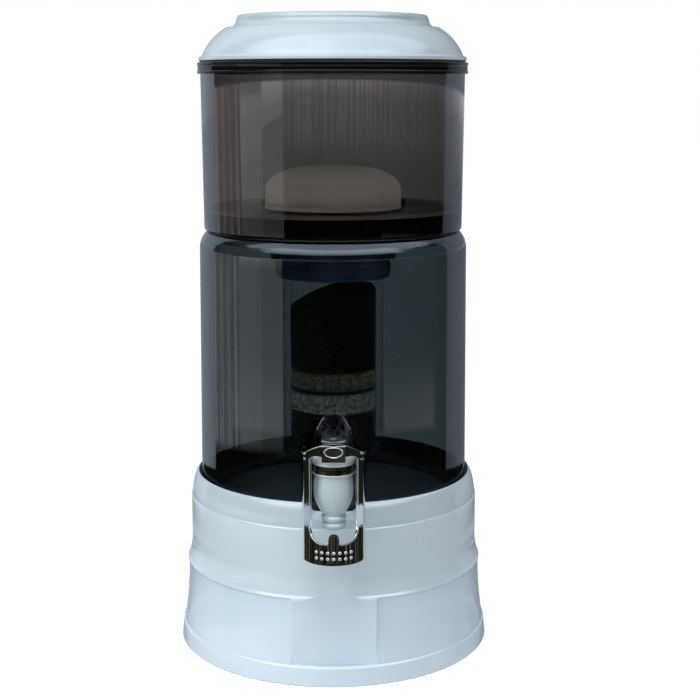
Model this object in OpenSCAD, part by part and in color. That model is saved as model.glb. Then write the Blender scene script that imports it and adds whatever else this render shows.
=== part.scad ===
// Counter-top gravity water filter: two smoked tanks on a flared base, a ceramic
// dome and a media cartridge between them, and a push tap at the front.
// Millimetres, +Z up. The origin is the middle of the circle that the feet stand on,
// and the tap faces -Y.

/* [Base] */
// Height of the base, from the bench to the rim of its collar
base_h = 156; // [146:1:170]
// Wall of the base
base_wall = 3.2; // [2.4:0.1:4]
// How far the foot spreads beyond the neck
foot_spread = 10.7; // [8:0.1:16]
// Height of the plain band round the foot
band_h = 18; // [14:1:22]
// Height of the ridge round the skirt
ridge_z = 75; // [68:1:82]
// Height of the fine step below the collar's rounding
step_z = 134.5; // [128:0.5:138]
// How far the flat front panel lies behind the foot's edge
panel_inset = 8.8; // [7.5:0.1:10]
// Width of the flat front panel
panel_w = 72.6; // [50:0.2:80]
// Depth to which the lower tank stands in the collar
tank_sink = 26; // [22:1:31]
// Gap between the lower tank and the collar
collar_gap = 2.2; // [1:0.1:4]
// Width of the notch in the collar for the tap
notch_w = 41; // [36:1:48]
// Depth of the notch in the collar
notch_d = 7; // [5:0.5:11]
// Width of the ledge that carries the lower tank
ledge_w = 30; // [26:1:50]
// Thickness of that ledge
ledge_t = 4; // [3:0.5:6]
// Number of gussets under the ledge
gussets = 12; // [6:2:16]
// Radius of each rubber foot
pad_r = 8; // [6:0.5:9]
// How far the rubber feet hold the base off the bench
pad_lift = 0.8; // [0.4:0.1:1.5]

/* [Lower tank] */
// Outer radius of the lower tank near its floor
lower_r = 119.5; // [112:0.5:126]
// Height of the lower tank
lower_h = 241.6; // [220:0.1:270]
// Draft of the lower tank's wall, from its floor to its shoulder
lower_draft = 1.6; // [0.5:0.1:2.5]
// Wall of both tanks
tank_wall = 3.2; // [2.4:0.1:4]
// Radius of the lower tank's bottom corner
heel_r = 14; // [10:0.5:18]
// Radius of the lower tank's shoulder
shoulder_r = 20; // [17:0.5:24]
// Height of the shoulder, from where it starts to the mouth
shoulder_h = 14.8; // [13:0.1:16]
// Radius of the lower tank's mouth
mouth_r = 100; // [96:0.5:102]
// Thickness of the gasket between the tanks
gasket_t = 0.9; // [0.6:0.1:2]

/* [Upper tank] */
// Outer radius of the upper tank at its floor
upper_r = 113.6; // [112:0.1:115]
// Height of the upper tank
upper_h = 144.2; // [130:0.1:170]
// Draft of the upper tank's wall
upper_draft = 1.2; // [0.5:0.1:2]
// Height of the skirt under the upper tank's floor
skirt_h = 17.5; // [15:0.5:24]
// Thickness of that floor
floor_t = 4; // [3:0.5:5]
// How far the rim flange stands out from the wall
flange_w = 2.7; // [1.5:0.1:4]
// Height of the rim flange
flange_h = 9.7; // [7:0.1:13]
// Depth of the spigot that drops into the lower tank's mouth
spigot_h = 10; // [6:0.5:14]

/* [Lid] */
// Thickness of the lid's seal
seal_t = 1.3; // [0.8:0.1:2]
// Wall of the lid
lid_wall = 2.4; // [1.8:0.1:3]
// Radius of the raised disc on the lid
crown_r = 82.5; // [74:0.5:86]
// Height of the raised disc above the lid's shoulder
crown_h = 10.5; // [9.5:0.1:14]
// Height of the lip at the lid's edge
lip_h = 3.4; // [2.6:0.1:4.4]
// Depth of the ring inside the lid that centres it
plug_h = 9; // [6:0.5:14]

/* [Ceramic dome] */
// Radius of the ceramic dome
dome_r = 60; // [52:1:66]
// Height of the dome's straight side
dome_side = 9.5; // [6:0.5:14]
// Height of the dome's rounded top
dome_rise = 24; // [18:0.5:30]
// Wall of the ceramic
ceramic_t = 7; // [5:0.5:9]
// Thickness of the plate under the dome
plate_t = 3.5; // [2.5:0.5:5]
// Radius of the dome's threaded stem
stem_r = 7.5; // [6:0.5:8.5]
// Radius of the water way through that stem
way_r = 4; // [3:0.5:4.5]

/* [Cartridge] */
// Outer radius of the cartridge's clear body
body_r = 44.7; // [42:0.1:47]
// Length of the clear body
body_h = 178; // [175:1:190]
// Wall of the clear body
body_wall = 6; // [4:0.5:7]
// Gap between the tank's floor and the cartridge's cap
cap_drop = 31; // [26:1:34]
// Height of the cartridge's cap
cap_h = 24; // [20:1:28]
// Depth of the carbon bed
carbon_h = 70; // [60:1:72]
// Depth of the brown bead bed
brown_h = 16; // [12:1:20]
// Depth of the grey bead bed
grey_h = 18.5; // [14:0.5:20]
// Depth of the mineral bed
mineral_h = 36; // [30:1:40]
// Thickness of each felt separator
felt_t = 2.8; // [2:0.1:3]

/* [Tap] */
// Height of the tap's shank above the lower tank's floor
tap_rise = 41; // [39:1:60]
// Distance from the tank's boss to the middle of the spout
tap_reach = 36.4; // [34:0.1:44]
// Radius of the threaded shank
shank_r = 8; // [7:0.5:9]
// Largest radius of the urn-shaped spout
urn_r = 16.4; // [16:0.1:17.5]
// Radius of the spout's outlet
outlet_r = 5.5; // [4:0.5:6]
// Radius of the lever's half-round plate
lever_r = 25.5; // [24:0.5:28]
// Thickness of the lever's plate
lever_t = 2.2; // [1.8:0.1:2.6]
// Distance of the lever's pivot in front of the valve stem
pivot_y = 11; // [10.5:0.1:12]
// Radius of the lever's pin
pin_r = 1.5; // [1.2:0.1:1.8]
// Radius of the valve stem
valve_r = 2; // [1.6:0.1:2.4]
// Turns of the valve spring
spring_turns = 7; // [5:1:9]
// Radius of the valve spring's wire
wire_r = 0.5; // [0.4:0.05:0.6]

/* [Hidden] */

$fn = 96;
slip = 0.3;       // gap between parts that only stand in or over each other
running = 0.05;   // gap between a shaft and the bore that it turns or slides in
through = 60;     // longer than any hole is deep

// Heights of the stack
ledge_z = base_h - tank_sink;
lower_top = ledge_z + lower_h;
upper_z = lower_top + gasket_t;
floor_z = upper_z + skirt_h;
rim_z = upper_z + upper_h;
lid_z = rim_z + seal_t;
cap_z = floor_z - floor_t - cap_drop;

// Points on an arc from angle a to angle b
function arc(c, r, a, b, n = 8) =
    [for (i = [0:n]) c + r * [cos(a + (b - a) * i / n), sin(a + (b - a) * i / n)]];

module lathe(points) rotate_extrude($fn = 160) polygon(points);

module ring(outer, inner, h, z = 0)
    translate([0, 0, z]) difference() {
        cylinder(r = outer, h = h, $fn = 160);
        translate([0, 0, -1]) cylinder(r = inner, h = h + 2, $fn = 160);
    }

// ---- Base ----
collar_r = lower_r + collar_gap;
collar_arc = 50;
neck_r = collar_r + 7.5;
foot_r = neck_r + foot_spread;
band_r = foot_r - 1.8;
ridge_r = neck_r + 4;
flare_arc = 60;
panel_y = foot_r - panel_inset;
panel_rise = 18;        // how far its back reaches above the ridge
step_in = 0.5;
ridge_in = 0.7;
pad_t = 4;
pad_wall = 3;           // wall of the sockets that hold the rubber feet
pad_ring = foot_r - base_wall - pad_r - pad_wall - 1;
gusset_t = 2.5;
gusset_h = 50;

// Outline of the base's outside at depth d under its surface, from bench to rim
function base_skin(d) = let (
        flare_z = ridge_z + sqrt(pow(flare_arc, 2) - pow(flare_arc - (ridge_r - neck_r), 2)),
        skirt_r = band_r - 0.8,
        skirt_top = ridge_r - ridge_in,
        run = [skirt_r - skirt_top, ridge_z - band_h],
        skirt_arc = (run[0] * run[0] + run[1] * run[1]) / (2 * run[0]),
        rim_a = asin((base_h - step_z) / collar_arc)
    ) concat(
        [[foot_r - 1 - d, pad_lift], [foot_r - d, pad_lift + 1], [foot_r - 0.5 - d, 7],
            [band_r - d, band_h - 0.8], [band_r - 0.8 - d, band_h]],
        arc([skirt_top + skirt_arc - d, ridge_z - 1.2], skirt_arc,
            180 + asin((run[1] - 1.2) / skirt_arc), 180, 8),
        [[ridge_r - d, ridge_z]],
        arc([neck_r + flare_arc - d, flare_z], flare_arc,
            180 + asin((flare_z - ridge_z - 1) / flare_arc), 180, 6),
        [[neck_r - d, step_z - 1]],
        arc([neck_r - step_in - collar_arc - d, step_z], collar_arc, 0, rim_a, 10));

module base_shell() color("ghostwhite") {
    cavity_top = ledge_z - ledge_t;
    ledge_in = collar_r + 3 - ledge_w;
    skin = [for (p = base_skin(base_wall)) if (p[1] < step_z - 2) p];
    difference() {
        union() {
            lathe(concat([[0, pad_lift]], base_skin(0), [[0, base_h]]));
            panel(ridge_z);
        }
        difference() {
            lathe(concat([[0, -1], [foot_r - base_wall - 1, -1]],
                [for (p = skin) if (p[1] < cavity_top) p],
                [[neck_r - base_wall, cavity_top], [0, cavity_top]]));
            panel(ridge_z + panel_rise);
            for (i = [0:gussets - 1]) rotate((i + 0.5) * 360 / gussets) gusset(cavity_top);
            for (i = [0:3]) rotate(45 + 90 * i) foot_boss();
        }
        translate([0, 0, cavity_top - 1]) cylinder(r = ledge_in, h = ledge_t + 2);
        translate([0, 0, ledge_z]) cylinder(r = collar_r, h = base_h, $fn = 160);
        translate([-panel_w / 2, -foot_r - 5, band_h])
            cube([panel_w, foot_r + 5 - panel_y, ridge_z]);
        notch();
        for (i = [0:3]) rotate(45 + 90 * i)
            translate([pad_ring, 0, -1]) cylinder(r = pad_r + 0.1, h = pad_t + 1);
    }
}

// Flat panel up to height top. It bridges the curve of the skirt, and its top corners
// stand a little proud.
module panel(top)
    translate([-panel_w / 2, -panel_y, band_h - base_wall])
        cube([panel_w, 2 * base_wall, top - band_h + base_wall]);

module gusset(top) rotate([90, 0, 0])
    linear_extrude(gusset_t, center = true)
        polygon([[collar_r + 5 - ledge_w, top + 1], [neck_r - 1, top + 1],
            [neck_r - 1, top - gusset_h]]);

module foot_boss() {
    boss_h = pad_t + 2 * pad_wall;
    translate([pad_ring, 0, pad_lift]) cylinder(r = pad_r + pad_wall, h = boss_h);
    translate([pad_ring, -pad_wall, pad_lift]) cube([pad_r + 6, 2 * pad_wall, boss_h]);
}

module notch() {
    corner = 7;
    translate([0, -lower_r + heel_r, base_h - notch_d]) rotate([90, 0, 0])
        linear_extrude(40) {
            translate([-notch_w / 2 + corner, 0]) square([notch_w - 2 * corner, notch_d + 5]);
            translate([-notch_w / 2, corner]) square([notch_w, notch_d + 5 - corner]);
            for (side = [-1, 1]) translate([side * (notch_w / 2 - corner), corner])
                circle(corner, $fn = 48);
        }
}

module rubber_feet() color("dimgray")
    for (i = [0:3]) rotate(45 + 90 * i) translate([pad_ring, 0, 0]) cylinder(r = pad_r, h = pad_t);

// ---- Lower tank, with a flat boss for the tap ----
tap_z = ledge_z + tap_rise;
boss_r = 17;
boss_face = lower_r + 0.1;
boss_back = boss_face - tank_wall - 2;
gasket_w = 9;
spigot_r = mouth_r - 0.6;

module lower_tank() color("dimgray", 0.5) {
    top_r = lower_r - lower_draft;
    heel = [lower_r - heel_r, ledge_z + heel_r];
    knee = [top_r - shoulder_r, lower_top - shoulder_h];
    difference() {
        union() {
            lathe(concat([[0, ledge_z]], arc(heel, heel_r, -90, 0),
                arc(knee, shoulder_r, 0, asin(shoulder_h / shoulder_r)),
                [[mouth_r, lower_top], [mouth_r, lower_top - tank_wall]],
                arc(knee, shoulder_r - tank_wall,
                    asin((shoulder_h - tank_wall) / (shoulder_r - tank_wall)), 0),
                arc(heel, heel_r - tank_wall, 0, -90), [[0, ledge_z + tank_wall]]));
            translate([0, -boss_back, tap_z]) rotate([90, 0, 0])
                cylinder(r = boss_r, h = boss_face - boss_back);
        }
        translate([0, 10 - boss_back, tap_z]) rotate([90, 0, 0])
            cylinder(r = shank_r + slip, h = boss_face - boss_back + 20);
    }
}

module tank_gasket() color("black")
    ring(mouth_r + gasket_w, mouth_r + slip, gasket_t, lower_top);

// ---- Upper tank ----
module upper_tank() color("gray", 0.5) {
    hem = 4;
    edge = 0.6;
    rim_r = upper_r + upper_draft;
    flange_r = rim_r + flange_w;
    neck_z = rim_z - flange_h;
    inside = upper_r - tank_wall;
    lathe(concat(
        [[spigot_r - tank_wall, upper_z - spigot_h], [spigot_r, upper_z - spigot_h],
            [spigot_r, upper_z]],
        arc([upper_r - hem, upper_z + hem], hem, -90, 0, 5),
        [[rim_r, neck_z - flange_w * 0.8], [flange_r, neck_z], [flange_r, rim_z - edge],
            [flange_r - edge, rim_z], [rim_r - tank_wall, rim_z],
            [inside, floor_z + tank_wall], [inside - tank_wall, floor_z],
            [stem_r + slip, floor_z], [stem_r + slip, floor_z - floor_t],
            [inside, floor_z - floor_t], [inside, upper_z + tank_wall],
            [spigot_r - tank_wall, upper_z + tank_wall]]));
}

// ---- Lid ----
lid_r = upper_r + upper_draft + 1.1;
plug_r = upper_r - tank_wall - 1.5;
valley_r = 7.4;     // hollow round the raised disc
valley_out = 0.6;   // from the disc's edge to the hollow
edge_r = 2.6;       // rounded edge of the raised disc
crown_gap = 10;     // from the disc's edge to the start of the shoulder
lip_rise = 1;       // from the lip to the foot of the shoulder
slope = [60, 22];   // angles at which the shoulder's arc starts and ends

module lid() color("ghostwhite")
    lathe(concat(lid_skin(0), lid_ring(), lid_skin_back()));

// Shoulder arc that starts beside the raised disc and ends at the lip
lid_start = crown_r + crown_gap;
lid_end = lid_r - 2.8;
lid_arc = (lid_end - lid_start) / (cos(slope[1]) - cos(slope[0]));
lid_shoulder = lid_z + lip_h + lip_rise + lid_arc * (sin(slope[0]) - sin(slope[1]));
lid_top = lid_shoulder + crown_h;

// Outline of the lid from its middle to its lip, at depth d under the outer surface
function lid_skin(d) = concat(
    [[0, lid_top - d]],
    arc([crown_r - edge_r, lid_top - edge_r], edge_r - d, 90, 12, 6),
    arc([crown_r + valley_r + valley_out, lid_shoulder + valley_r],
        valley_r + d, 180, 262, 8),
    arc([lid_start - lid_arc * cos(slope[0]), lid_shoulder - lid_arc * sin(slope[0])],
        lid_arc - d, slope[0], slope[1], 10));

function lid_ring() = [[lid_r - 2.3, lid_z + lip_h + 0.5], [lid_r - 0.5, lid_z + lip_h],
    [lid_r, lid_z + lip_h - 0.6], [lid_r, lid_z], [plug_r, lid_z],
    [plug_r, lid_z - seal_t - plug_h], [plug_r - lid_wall, lid_z - seal_t - plug_h],
    [plug_r - lid_wall, lid_z + lip_h]];

function lid_skin_back() = let (inner = [for (p = lid_skin(lid_wall))
        if (p[0] < plug_r - lid_wall) p])
    [for (i = [len(inner) - 1:-1:0]) inner[i]];

module lid_seal() color("black") ring(lid_r - 0.8, plug_r + slip, seal_t, rim_z);

// ---- Ceramic dome ----
washer_t = 1.5;
washer_w = 12;
plate_rim = [3, 5];     // width and height of the plate's inner rim
plate_lug = [5.5, 8];   // length and width of the plate's lugs
plate_z = floor_z + washer_t;
dome_z = plate_z + plate_t;
nut_h = 10;
nut_flange = [9, 2.5];  // width and thickness of the nut's flange
nut_wing = [16, 4];     // reach and thickness of its wings
stem_end = cap_z + 3;

// Half outline of the dome at depth d, a straight side and an elliptical top
function dome_half(d) = concat([[dome_r - d, dome_z]],
    [for (a = [0:7.5:90]) [(dome_r - d) * pow(cos(a), 0.8), dome_z + dome_side
        + (dome_rise - d) * pow(sin(a), 0.8)]]);

module ceramic_dome() color("antiquewhite") difference() {
    lathe(concat([[0, dome_z]], dome_half(0)));
    lathe(concat([[0, dome_z - 1], [dome_r - ceramic_t, dome_z - 1]], dome_half(ceramic_t)));
}

module dome_plate() color("gainsboro") difference() {
    union() {
        translate([0, 0, plate_z]) cylinder(r = dome_r, h = plate_t, $fn = 160);
        ring(dome_r - ceramic_t - slip, dome_r - ceramic_t - plate_rim[0], plate_rim[1], dome_z);
        translate([0, 0, stem_end]) cylinder(r = stem_r, h = plate_z - stem_end + 1);
        for (side = [0, 180]) rotate(side) translate([dome_r - 2, -plate_lug[1] / 2, plate_z])
            cube([plate_lug[0], plate_lug[1], plate_t + 4]);
    }
    translate([0, 0, stem_end - 1]) cylinder(r = way_r, h = dome_z - stem_end + 2);
    translate([0, 0, dome_z]) cylinder(r = dome_r - ceramic_t - plate_rim[0], h = 10, $fn = 160);
    ring(dome_r + slip, dome_r - ceramic_t - slip, 10, dome_z);
}

module dome_gasket() color("black") ring(stem_r + washer_w, stem_r + slip, washer_t, floor_z);

module dome_nut() color("gainsboro") translate([0, 0, floor_z - floor_t - nut_h]) difference() {
    union() {
        cylinder(r = stem_r + 6, h = nut_h);
        translate([0, 0, nut_h - nut_flange[1]])
            cylinder(r = stem_r + nut_flange[0], h = nut_flange[1]);
        translate([-stem_r - nut_wing[0], -nut_wing[1] / 2, 0])
            cube([2 * (stem_r + nut_wing[0]), nut_wing[1], nut_h - nut_flange[1]]);
    }
    translate([0, 0, -1]) cylinder(r = stem_r + running, h = nut_h + 2);
}

// ---- Cartridge, hung on the dome's stem ----
body_top = cap_z - 8;
body_z = body_top - body_h;
bore_r = body_r - body_wall;
bed_r = bore_r - slip;
cap_wall = 5.5;
cap_r = body_r + slip + cap_wall;
rib = [1.4, 2.2, 6];    // reach, height and spacing of the cap's grip ribs
cap_lug = [5, 10, 8];   // reach, width and height of the cap's lugs
hole_r = 2;             // holes in the cartridge's floor
mesh_r = 3;             // holes in the screen
sump_t = 3;
mineral_z = body_z + sump_t;
grey_z = mineral_z + mineral_h + felt_t;
brown_z = grey_z + grey_h + felt_t;
carbon_z = brown_z + brown_h + felt_t;
neck_h = 14;

module cartridge_cap() color("midnightblue", 0.7) difference() {
    union() {
        translate([0, 0, cap_z - cap_h]) cylinder(r = cap_r, h = cap_h - 1, $fn = 160);
        translate([0, 0, cap_z - 1]) cylinder(r1 = cap_r, r2 = cap_r - 1, h = 1, $fn = 160);
        for (i = [0:2]) ring(cap_r + rib[0], cap_r - 1, rib[1], cap_z - cap_h + 3 + rib[2] * i);
        translate([0, 0, cap_z - 1]) cylinder(r = stem_r + 6, h = neck_h + 1);
        for (side = [0, 180]) rotate(side)
            translate([cap_r - 1, -cap_lug[1] / 2, cap_z - cap_lug[2] - 2])
                cube([cap_lug[0] + 1, cap_lug[1], cap_lug[2]]);
    }
    translate([0, 0, cap_z - cap_h - 1]) cylinder(r = body_r + slip, h = cap_h - 5, $fn = 160);
    translate([0, 0, cap_z - 7]) cylinder(r = way_r, h = neck_h + 10);
    translate([0, 0, stem_end - slip]) cylinder(r = stem_r + running, h = neck_h + 10);
}

module cap_gasket() color("black") ring(body_r, bore_r, 2, body_top);

module cartridge_body() color("lightgray", 0.4) difference() {
    translate([0, 0, body_z]) cylinder(r = body_r, h = body_h, $fn = 160);
    translate([0, 0, mineral_z]) cylinder(r = bore_r, h = body_h, $fn = 160);
    for (a = [0:30:330]) rotate(a) translate([bore_r - 12, 0, body_z - 1])
        cylinder(r = hole_r, h = sump_t + 2, $fn = 24);
    for (a = [0:60:300]) rotate(a) translate([bore_r - 24, 0, body_z - 1])
        cylinder(r = hole_r, h = sump_t + 2, $fn = 24);
}

// The carbon has settled lower on one side
module carbon_bed() color("black") difference() {
    translate([0, 0, carbon_z]) cylinder(r = bed_r, h = carbon_h + 6, $fn = 160);
    translate([-bed_r, 0, carbon_z + carbon_h - 8]) rotate([0, -8, 0])
        translate([-10, -bed_r - 5, 0]) cube([bed_r * 2 + 30, bed_r * 2 + 10, 40]);
}

module bed(z, h, tint) color(tint) translate([0, 0, z]) cylinder(r = bed_r, h = h, $fn = 160);

module brown_beads() bed(brown_z, brown_h, "saddlebrown");
module grey_beads() bed(grey_z, grey_h, "gray");
module mineral_bed() bed(mineral_z, mineral_h, "darkslategray");

module felt_separators() for (z = [grey_z, brown_z, carbon_z]) bed(z - felt_t, felt_t, "black");

// Mesh disc that holds the beds in under the cap
module inlet_screen() color("silver") difference() {
    translate([0, 0, body_top - 4]) cylinder(r = bed_r, h = 2, $fn = 160);
    for (a = [0:45:315], r = [14, 28]) rotate(a + r) translate([r, 0, body_top - 5])
        cylinder(r = mesh_r, h = 4, $fn = 24);
}

// ---- Tap, drawn about the middle of its spout with the tank at +Y ----
outer_t = 2.5;
shank_wall = 3;
inner_t = 2;
flange_t = 3.9;
tap_flange_r = 14;
flange_y = tap_reach - outer_t;
spout_z = -25.5;
bead_r = 3;
urn_arc = 36;
urn_z = 8.9;
seat_z = -7;
chamber_r = 9.5;
plug_z = 20.5;
socket_r = 12;
top_z = 30.5;
cuff_r = urn_r - 0.8;
pivot_z = 40.5;
bonnet_top = 37;
strap = [15.4, 5];      // width and thickness of the arm that lifts the stem
lever_low = -49.5;
lever_side = 37;
lever_crown = 50;
seal_h = 3;
seat_gap = 0.2;
seal_z = seat_z + seat_gap;
hub_z = pivot_z + strap[1] / 2 + slip;
cap_disc_z = hub_z + 2.2;

module at_tap() translate([0, -boss_face - tap_reach, tap_z]) children();

// A cylinder along +Y that starts at y
module along_y(r, y, h) translate([0, y + h, 0]) rotate([90, 0, 0]) cylinder(r = r, h = h);

module tap_body() color("ghostwhite") at_tap() difference() {
    union() {
        lathe(concat([[0, spout_z]],
            arc([urn_r - 9.2, spout_z + bead_r], bead_r, -90, 70, 6),
            arc([urn_r - 9.2, spout_z + 3 * bead_r], bead_r, -70, 70, 6),
            arc([urn_r - urn_arc, urn_z], urn_arc, -36, 14.6, 10),
            [[cuff_r, plug_z], [cuff_r, top_z - 0.1], [0, top_z - 0.1]]));
        along_y(shank_r + 1, 0, flange_y);
        along_y(tap_flange_r, flange_y - flange_t, flange_t);
        threaded_shank();
    }
    translate([0, 0, seat_z]) cylinder(r = chamber_r, h = through);
    translate([0, 0, plug_z]) cylinder(r = socket_r, h = through);
    translate([0, 0, spout_z - 1]) cylinder(r = outlet_r, h = through);
    along_y(shank_r - shank_wall, 0, through + 20);
}

// Shank with thread-like rings beyond the flange
module threaded_shank() {
    pitch = 2;
    turns = 14;
    start = flange_y + 1;
    along_y(shank_r, flange_y - 1, 3);
    translate([0, start, 0]) rotate([-90, 0, 0]) rotate_extrude()
        polygon(concat([[0, 0]], [for (i = [0:turns * 2])
            [shank_r - (i % 2) * 0.7, i * pitch / 2 + 1]], [[0, turns * pitch + 1]]));
}

module washer(outer, y, t) at_tap() translate([0, y + t, 0]) rotate([90, 0, 0])
    difference() {
        cylinder(r = outer, h = t);
        translate([0, 0, -1]) cylinder(r = shank_r + running, h = t + 2);
    }

back_y = tap_reach + boss_face - boss_back;
module outer_washer() color("black") washer(tap_flange_r - 0.5, flange_y, outer_t);
module inner_washer() color("black") washer(tap_flange_r, back_y, inner_t);

module shank_nut() color("ghostwhite") at_tap() difference() {
    union() {
        along_y(tap_flange_r + 1, back_y + inner_t, 2.5);
        translate([0, back_y + inner_t + 10, 0]) rotate([90, 0, 0])
            cylinder(r = tap_flange_r, h = 9, $fn = 6);
    }
    along_y(shank_r + running, back_y, 40);
}

module collar_ring() color("silver") at_tap() lathe([[cuff_r + running, plug_z],
    [urn_r + 0.2, plug_z], [urn_r + 0.8, plug_z + 0.6], [urn_r + 0.8, top_z - 0.7],
    [urn_r + 0.2, top_z - 0.1], [cuff_r + running, top_z - 0.1]]);

bonnet_r = urn_r + 1.1;
ear = [8, 10.5];        // inner and outer face of each ear
ear_r = 3.4;
module tap_bonnet() color("ghostwhite") at_tap() difference() {
    union() {
        lathe(concat([[0, plug_z + 1.5], [socket_r - running, plug_z + 1.5],
            [socket_r - running, top_z], [bonnet_r, top_z]],
            arc([bonnet_r - 4.5, top_z + 2], 4.5, 0, 70, 6),
            [[11, bonnet_top], [0, bonnet_top]]));
        intersection() {
            for (side = [-1, 1]) translate([side * (ear[0] + ear[1]) / 2, -pivot_y, 0]) bonnet_ear();
            translate([0, 0, top_z]) cylinder(r = bonnet_r, h = 40);
        }
    }
    translate([0, 0, plug_z]) cylinder(r = 8, h = bonnet_top - 4 - plug_z);
    translate([0, 0, top_z]) cylinder(r = valve_r + running, h = 20);
    translate([-20, -pivot_y, pivot_z]) rotate([0, 90, 0]) cylinder(r = pin_r + 0.02, h = 40, $fn = 48);
}

// One ear of the bonnet, round at the top about the lever's pin
module bonnet_ear() translate([-(ear[1] - ear[0]) / 2, 0, 0]) {
    translate([0, 0, pivot_z]) rotate([0, 90, 0]) cylinder(r = ear_r, h = ear[1] - ear[0], $fn = 48);
    translate([0, -ear_r, top_z + 1]) cube([ear[1] - ear[0], 2 * ear_r, pivot_z - top_z - 1]);
}

module bonnet_gasket() color("black") at_tap() ring(socket_r - running, chamber_r - 1, 1.5, plug_z);

module lever_pin() color("silver") at_tap() translate([-ear[1], -pivot_y, pivot_z])
    rotate([0, 90, 0]) cylinder(r = pin_r, h = 2 * ear[1], $fn = 48);

// ---- Push lever: a half-round plate with a window, an arched top and an arm ----
window = [17.8, -32.5, 39.5];   // half width, lowest and highest point
window_foot = 12;       // radius of the window's lower corners
window_head = 5.5;      // radius of its upper corners
bridge = [18.6, 5, -7, 6.5];    // arm's block: width, depth, foot and top from the pivot
nub_r = 4.4;            // tongue at the foot of the window
stud = [1.3, 0.7, 5];   // radius, height and spacing of the grip studs

// Front outline of the lever
module lever_front() {
    rise = lever_crown - lever_side;
    arch = (lever_r * lever_r + rise * rise) / (2 * rise);
    half = asin(lever_r / arch);
    polygon(concat([[-lever_r, lever_low], [lever_r, lever_low]],
        arc([0, lever_crown - arch], arch, 90 - half, 90 + half, 16)));
}

module lever_window() difference() {
    polygon(concat(
        arc([window[0] - window_foot, window[1] + window_foot], window_foot, -90, 0, 12),
        arc([window[0] - window_head, window[2] - window_head], window_head, 0, 90, 10),
        arc([window_head - window[0], window[2] - window_head], window_head, 90, 180, 10),
        arc([window_foot - window[0], window[1] + window_foot], window_foot, 180, 270, 12)));
    translate([-nub_r, window[1] - 1]) square([2 * nub_r, 6]);
    translate([0, window[1] + 5]) circle(nub_r, $fn = 48);
}

module push_lever() color("silver") at_tap() {
    difference() {
        union() {
            intersection() {
                translate([0, 0, lever_low - 1]) linear_extrude(lever_crown - lever_low + 2)
                    half_pipe();
                translate([0, 5, 0]) rotate([90, 0, 0]) linear_extrude(through) difference() {
                    lever_front();
                    lever_window();
                }
            }
            lever_arm();
            for (row = [0, 1], i = [-3:3]) rotate(i * 11)
                translate([0, 1 - lever_r, lever_low + 5.5 + stud[2] * row])
                    rotate([90, 0, 0]) cylinder(r = stud[0], h = stud[1] + 1, $fn = 24);
        }
        translate([-20, -pivot_y, pivot_z]) rotate([0, 90, 0])
            cylinder(r = pin_r + running, h = 40, $fn = 48);
        stem_slot();
    }
}

// Plan of the plate: half a ring with short straight flanks
module half_pipe() difference() {
    union() {
        circle(lever_r, $fn = 160);
        translate([-lever_r, 0]) square([2 * lever_r, 3]);
    }
    circle(lever_r - lever_t, $fn = 160);
    translate([-lever_r + lever_t, 0]) square([2 * (lever_r - lever_t), 40]);
    translate([-50, 3]) square([100, 50]);
}

module lever_arm() {
    intersection() {
        translate([-bridge[0] / 2, -lever_r, pivot_z + bridge[2]])
            cube([bridge[0], bridge[1], bridge[3] - bridge[2]]);
        cylinder(r = lever_r - 0.1, h = 2 * lever_crown, $fn = 160);
    }
    translate([-strap[0] / 2, -lever_r + lever_t, pivot_z - strap[1] / 2])
        cube([strap[0], lever_r - lever_t + 4.5, strap[1]]);
}

module stem_slot() {
    r = valve_r + slip;
    run = 1.4;
    for (y = [-run, run]) translate([0, y, lever_side - 2]) cylinder(r = r, h = 12, $fn = 48);
    translate([-r, -run, lever_side - 2]) cube([2 * r, 2 * run, 12]);
}

// ---- Valve ----
stem_foot = seal_z + seal_h;
stem_flange = [6.5, 1.5];   // radius and thickness of the flange that the spring bears on
spring_seat = stem_foot + stem_flange[1];
button_r = 10;
button_t = 3;
spring_top = bonnet_top - 4;

module valve_stem() color("silver") at_tap() {
    translate([0, 0, stem_foot]) cylinder(r = stem_flange[0], h = stem_flange[1]);
    translate([0, 0, stem_foot - seal_h + 0.5]) cylinder(r = valve_r, h = cap_disc_z - stem_foot + 3);
}

module valve_seal() color("black") at_tap() difference() {
    translate([0, 0, seal_z]) cylinder(r = chamber_r - 1, h = seal_h);
    translate([0, 0, seal_z + 0.5]) cylinder(r = valve_r, h = seal_h);
}

// One closed coil swept along a helix
module valve_spring() color("silver") at_tap() {
    sides = 8;
    steps = spring_turns * 12;
    coil_r = 4.6;
    low = spring_seat + wire_r;
    pitch = (spring_top - spring_seat - 2 * wire_r) / steps;
    rings = [for (i = [0:steps], k = [0:sides - 1]) let (a = i * 30, b = k * 360 / sides,
        r = coil_r + wire_r * cos(b)) [r * cos(a), r * sin(a), low + i * pitch + wire_r * sin(b)]];
    polyhedron(rings, concat([[for (k = [0:sides - 1]) k]],
        [for (i = [0:steps - 1], k = [0:sides - 1]) let (n = (k + 1) % sides)
            [i * sides + k, (i + 1) * sides + k, (i + 1) * sides + n, i * sides + n]],
        [[for (k = [sides - 1:-1:0]) steps * sides + k]]));
}

module stem_button() color("silver") at_tap() difference() {
    union() {
        translate([0, 0, hub_z]) cylinder(r = 3.6, h = 3);
        translate([0, 0, cap_disc_z]) linear_extrude(button_t)
            polygon([for (i = [0:59]) (button_r - (i % 2) * 0.6) * [cos(i * 6), sin(i * 6)]]);
    }
    translate([0, 0, hub_z - 1]) cylinder(r = valve_r, h = cap_disc_z - hub_z + 1.5);
}

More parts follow.
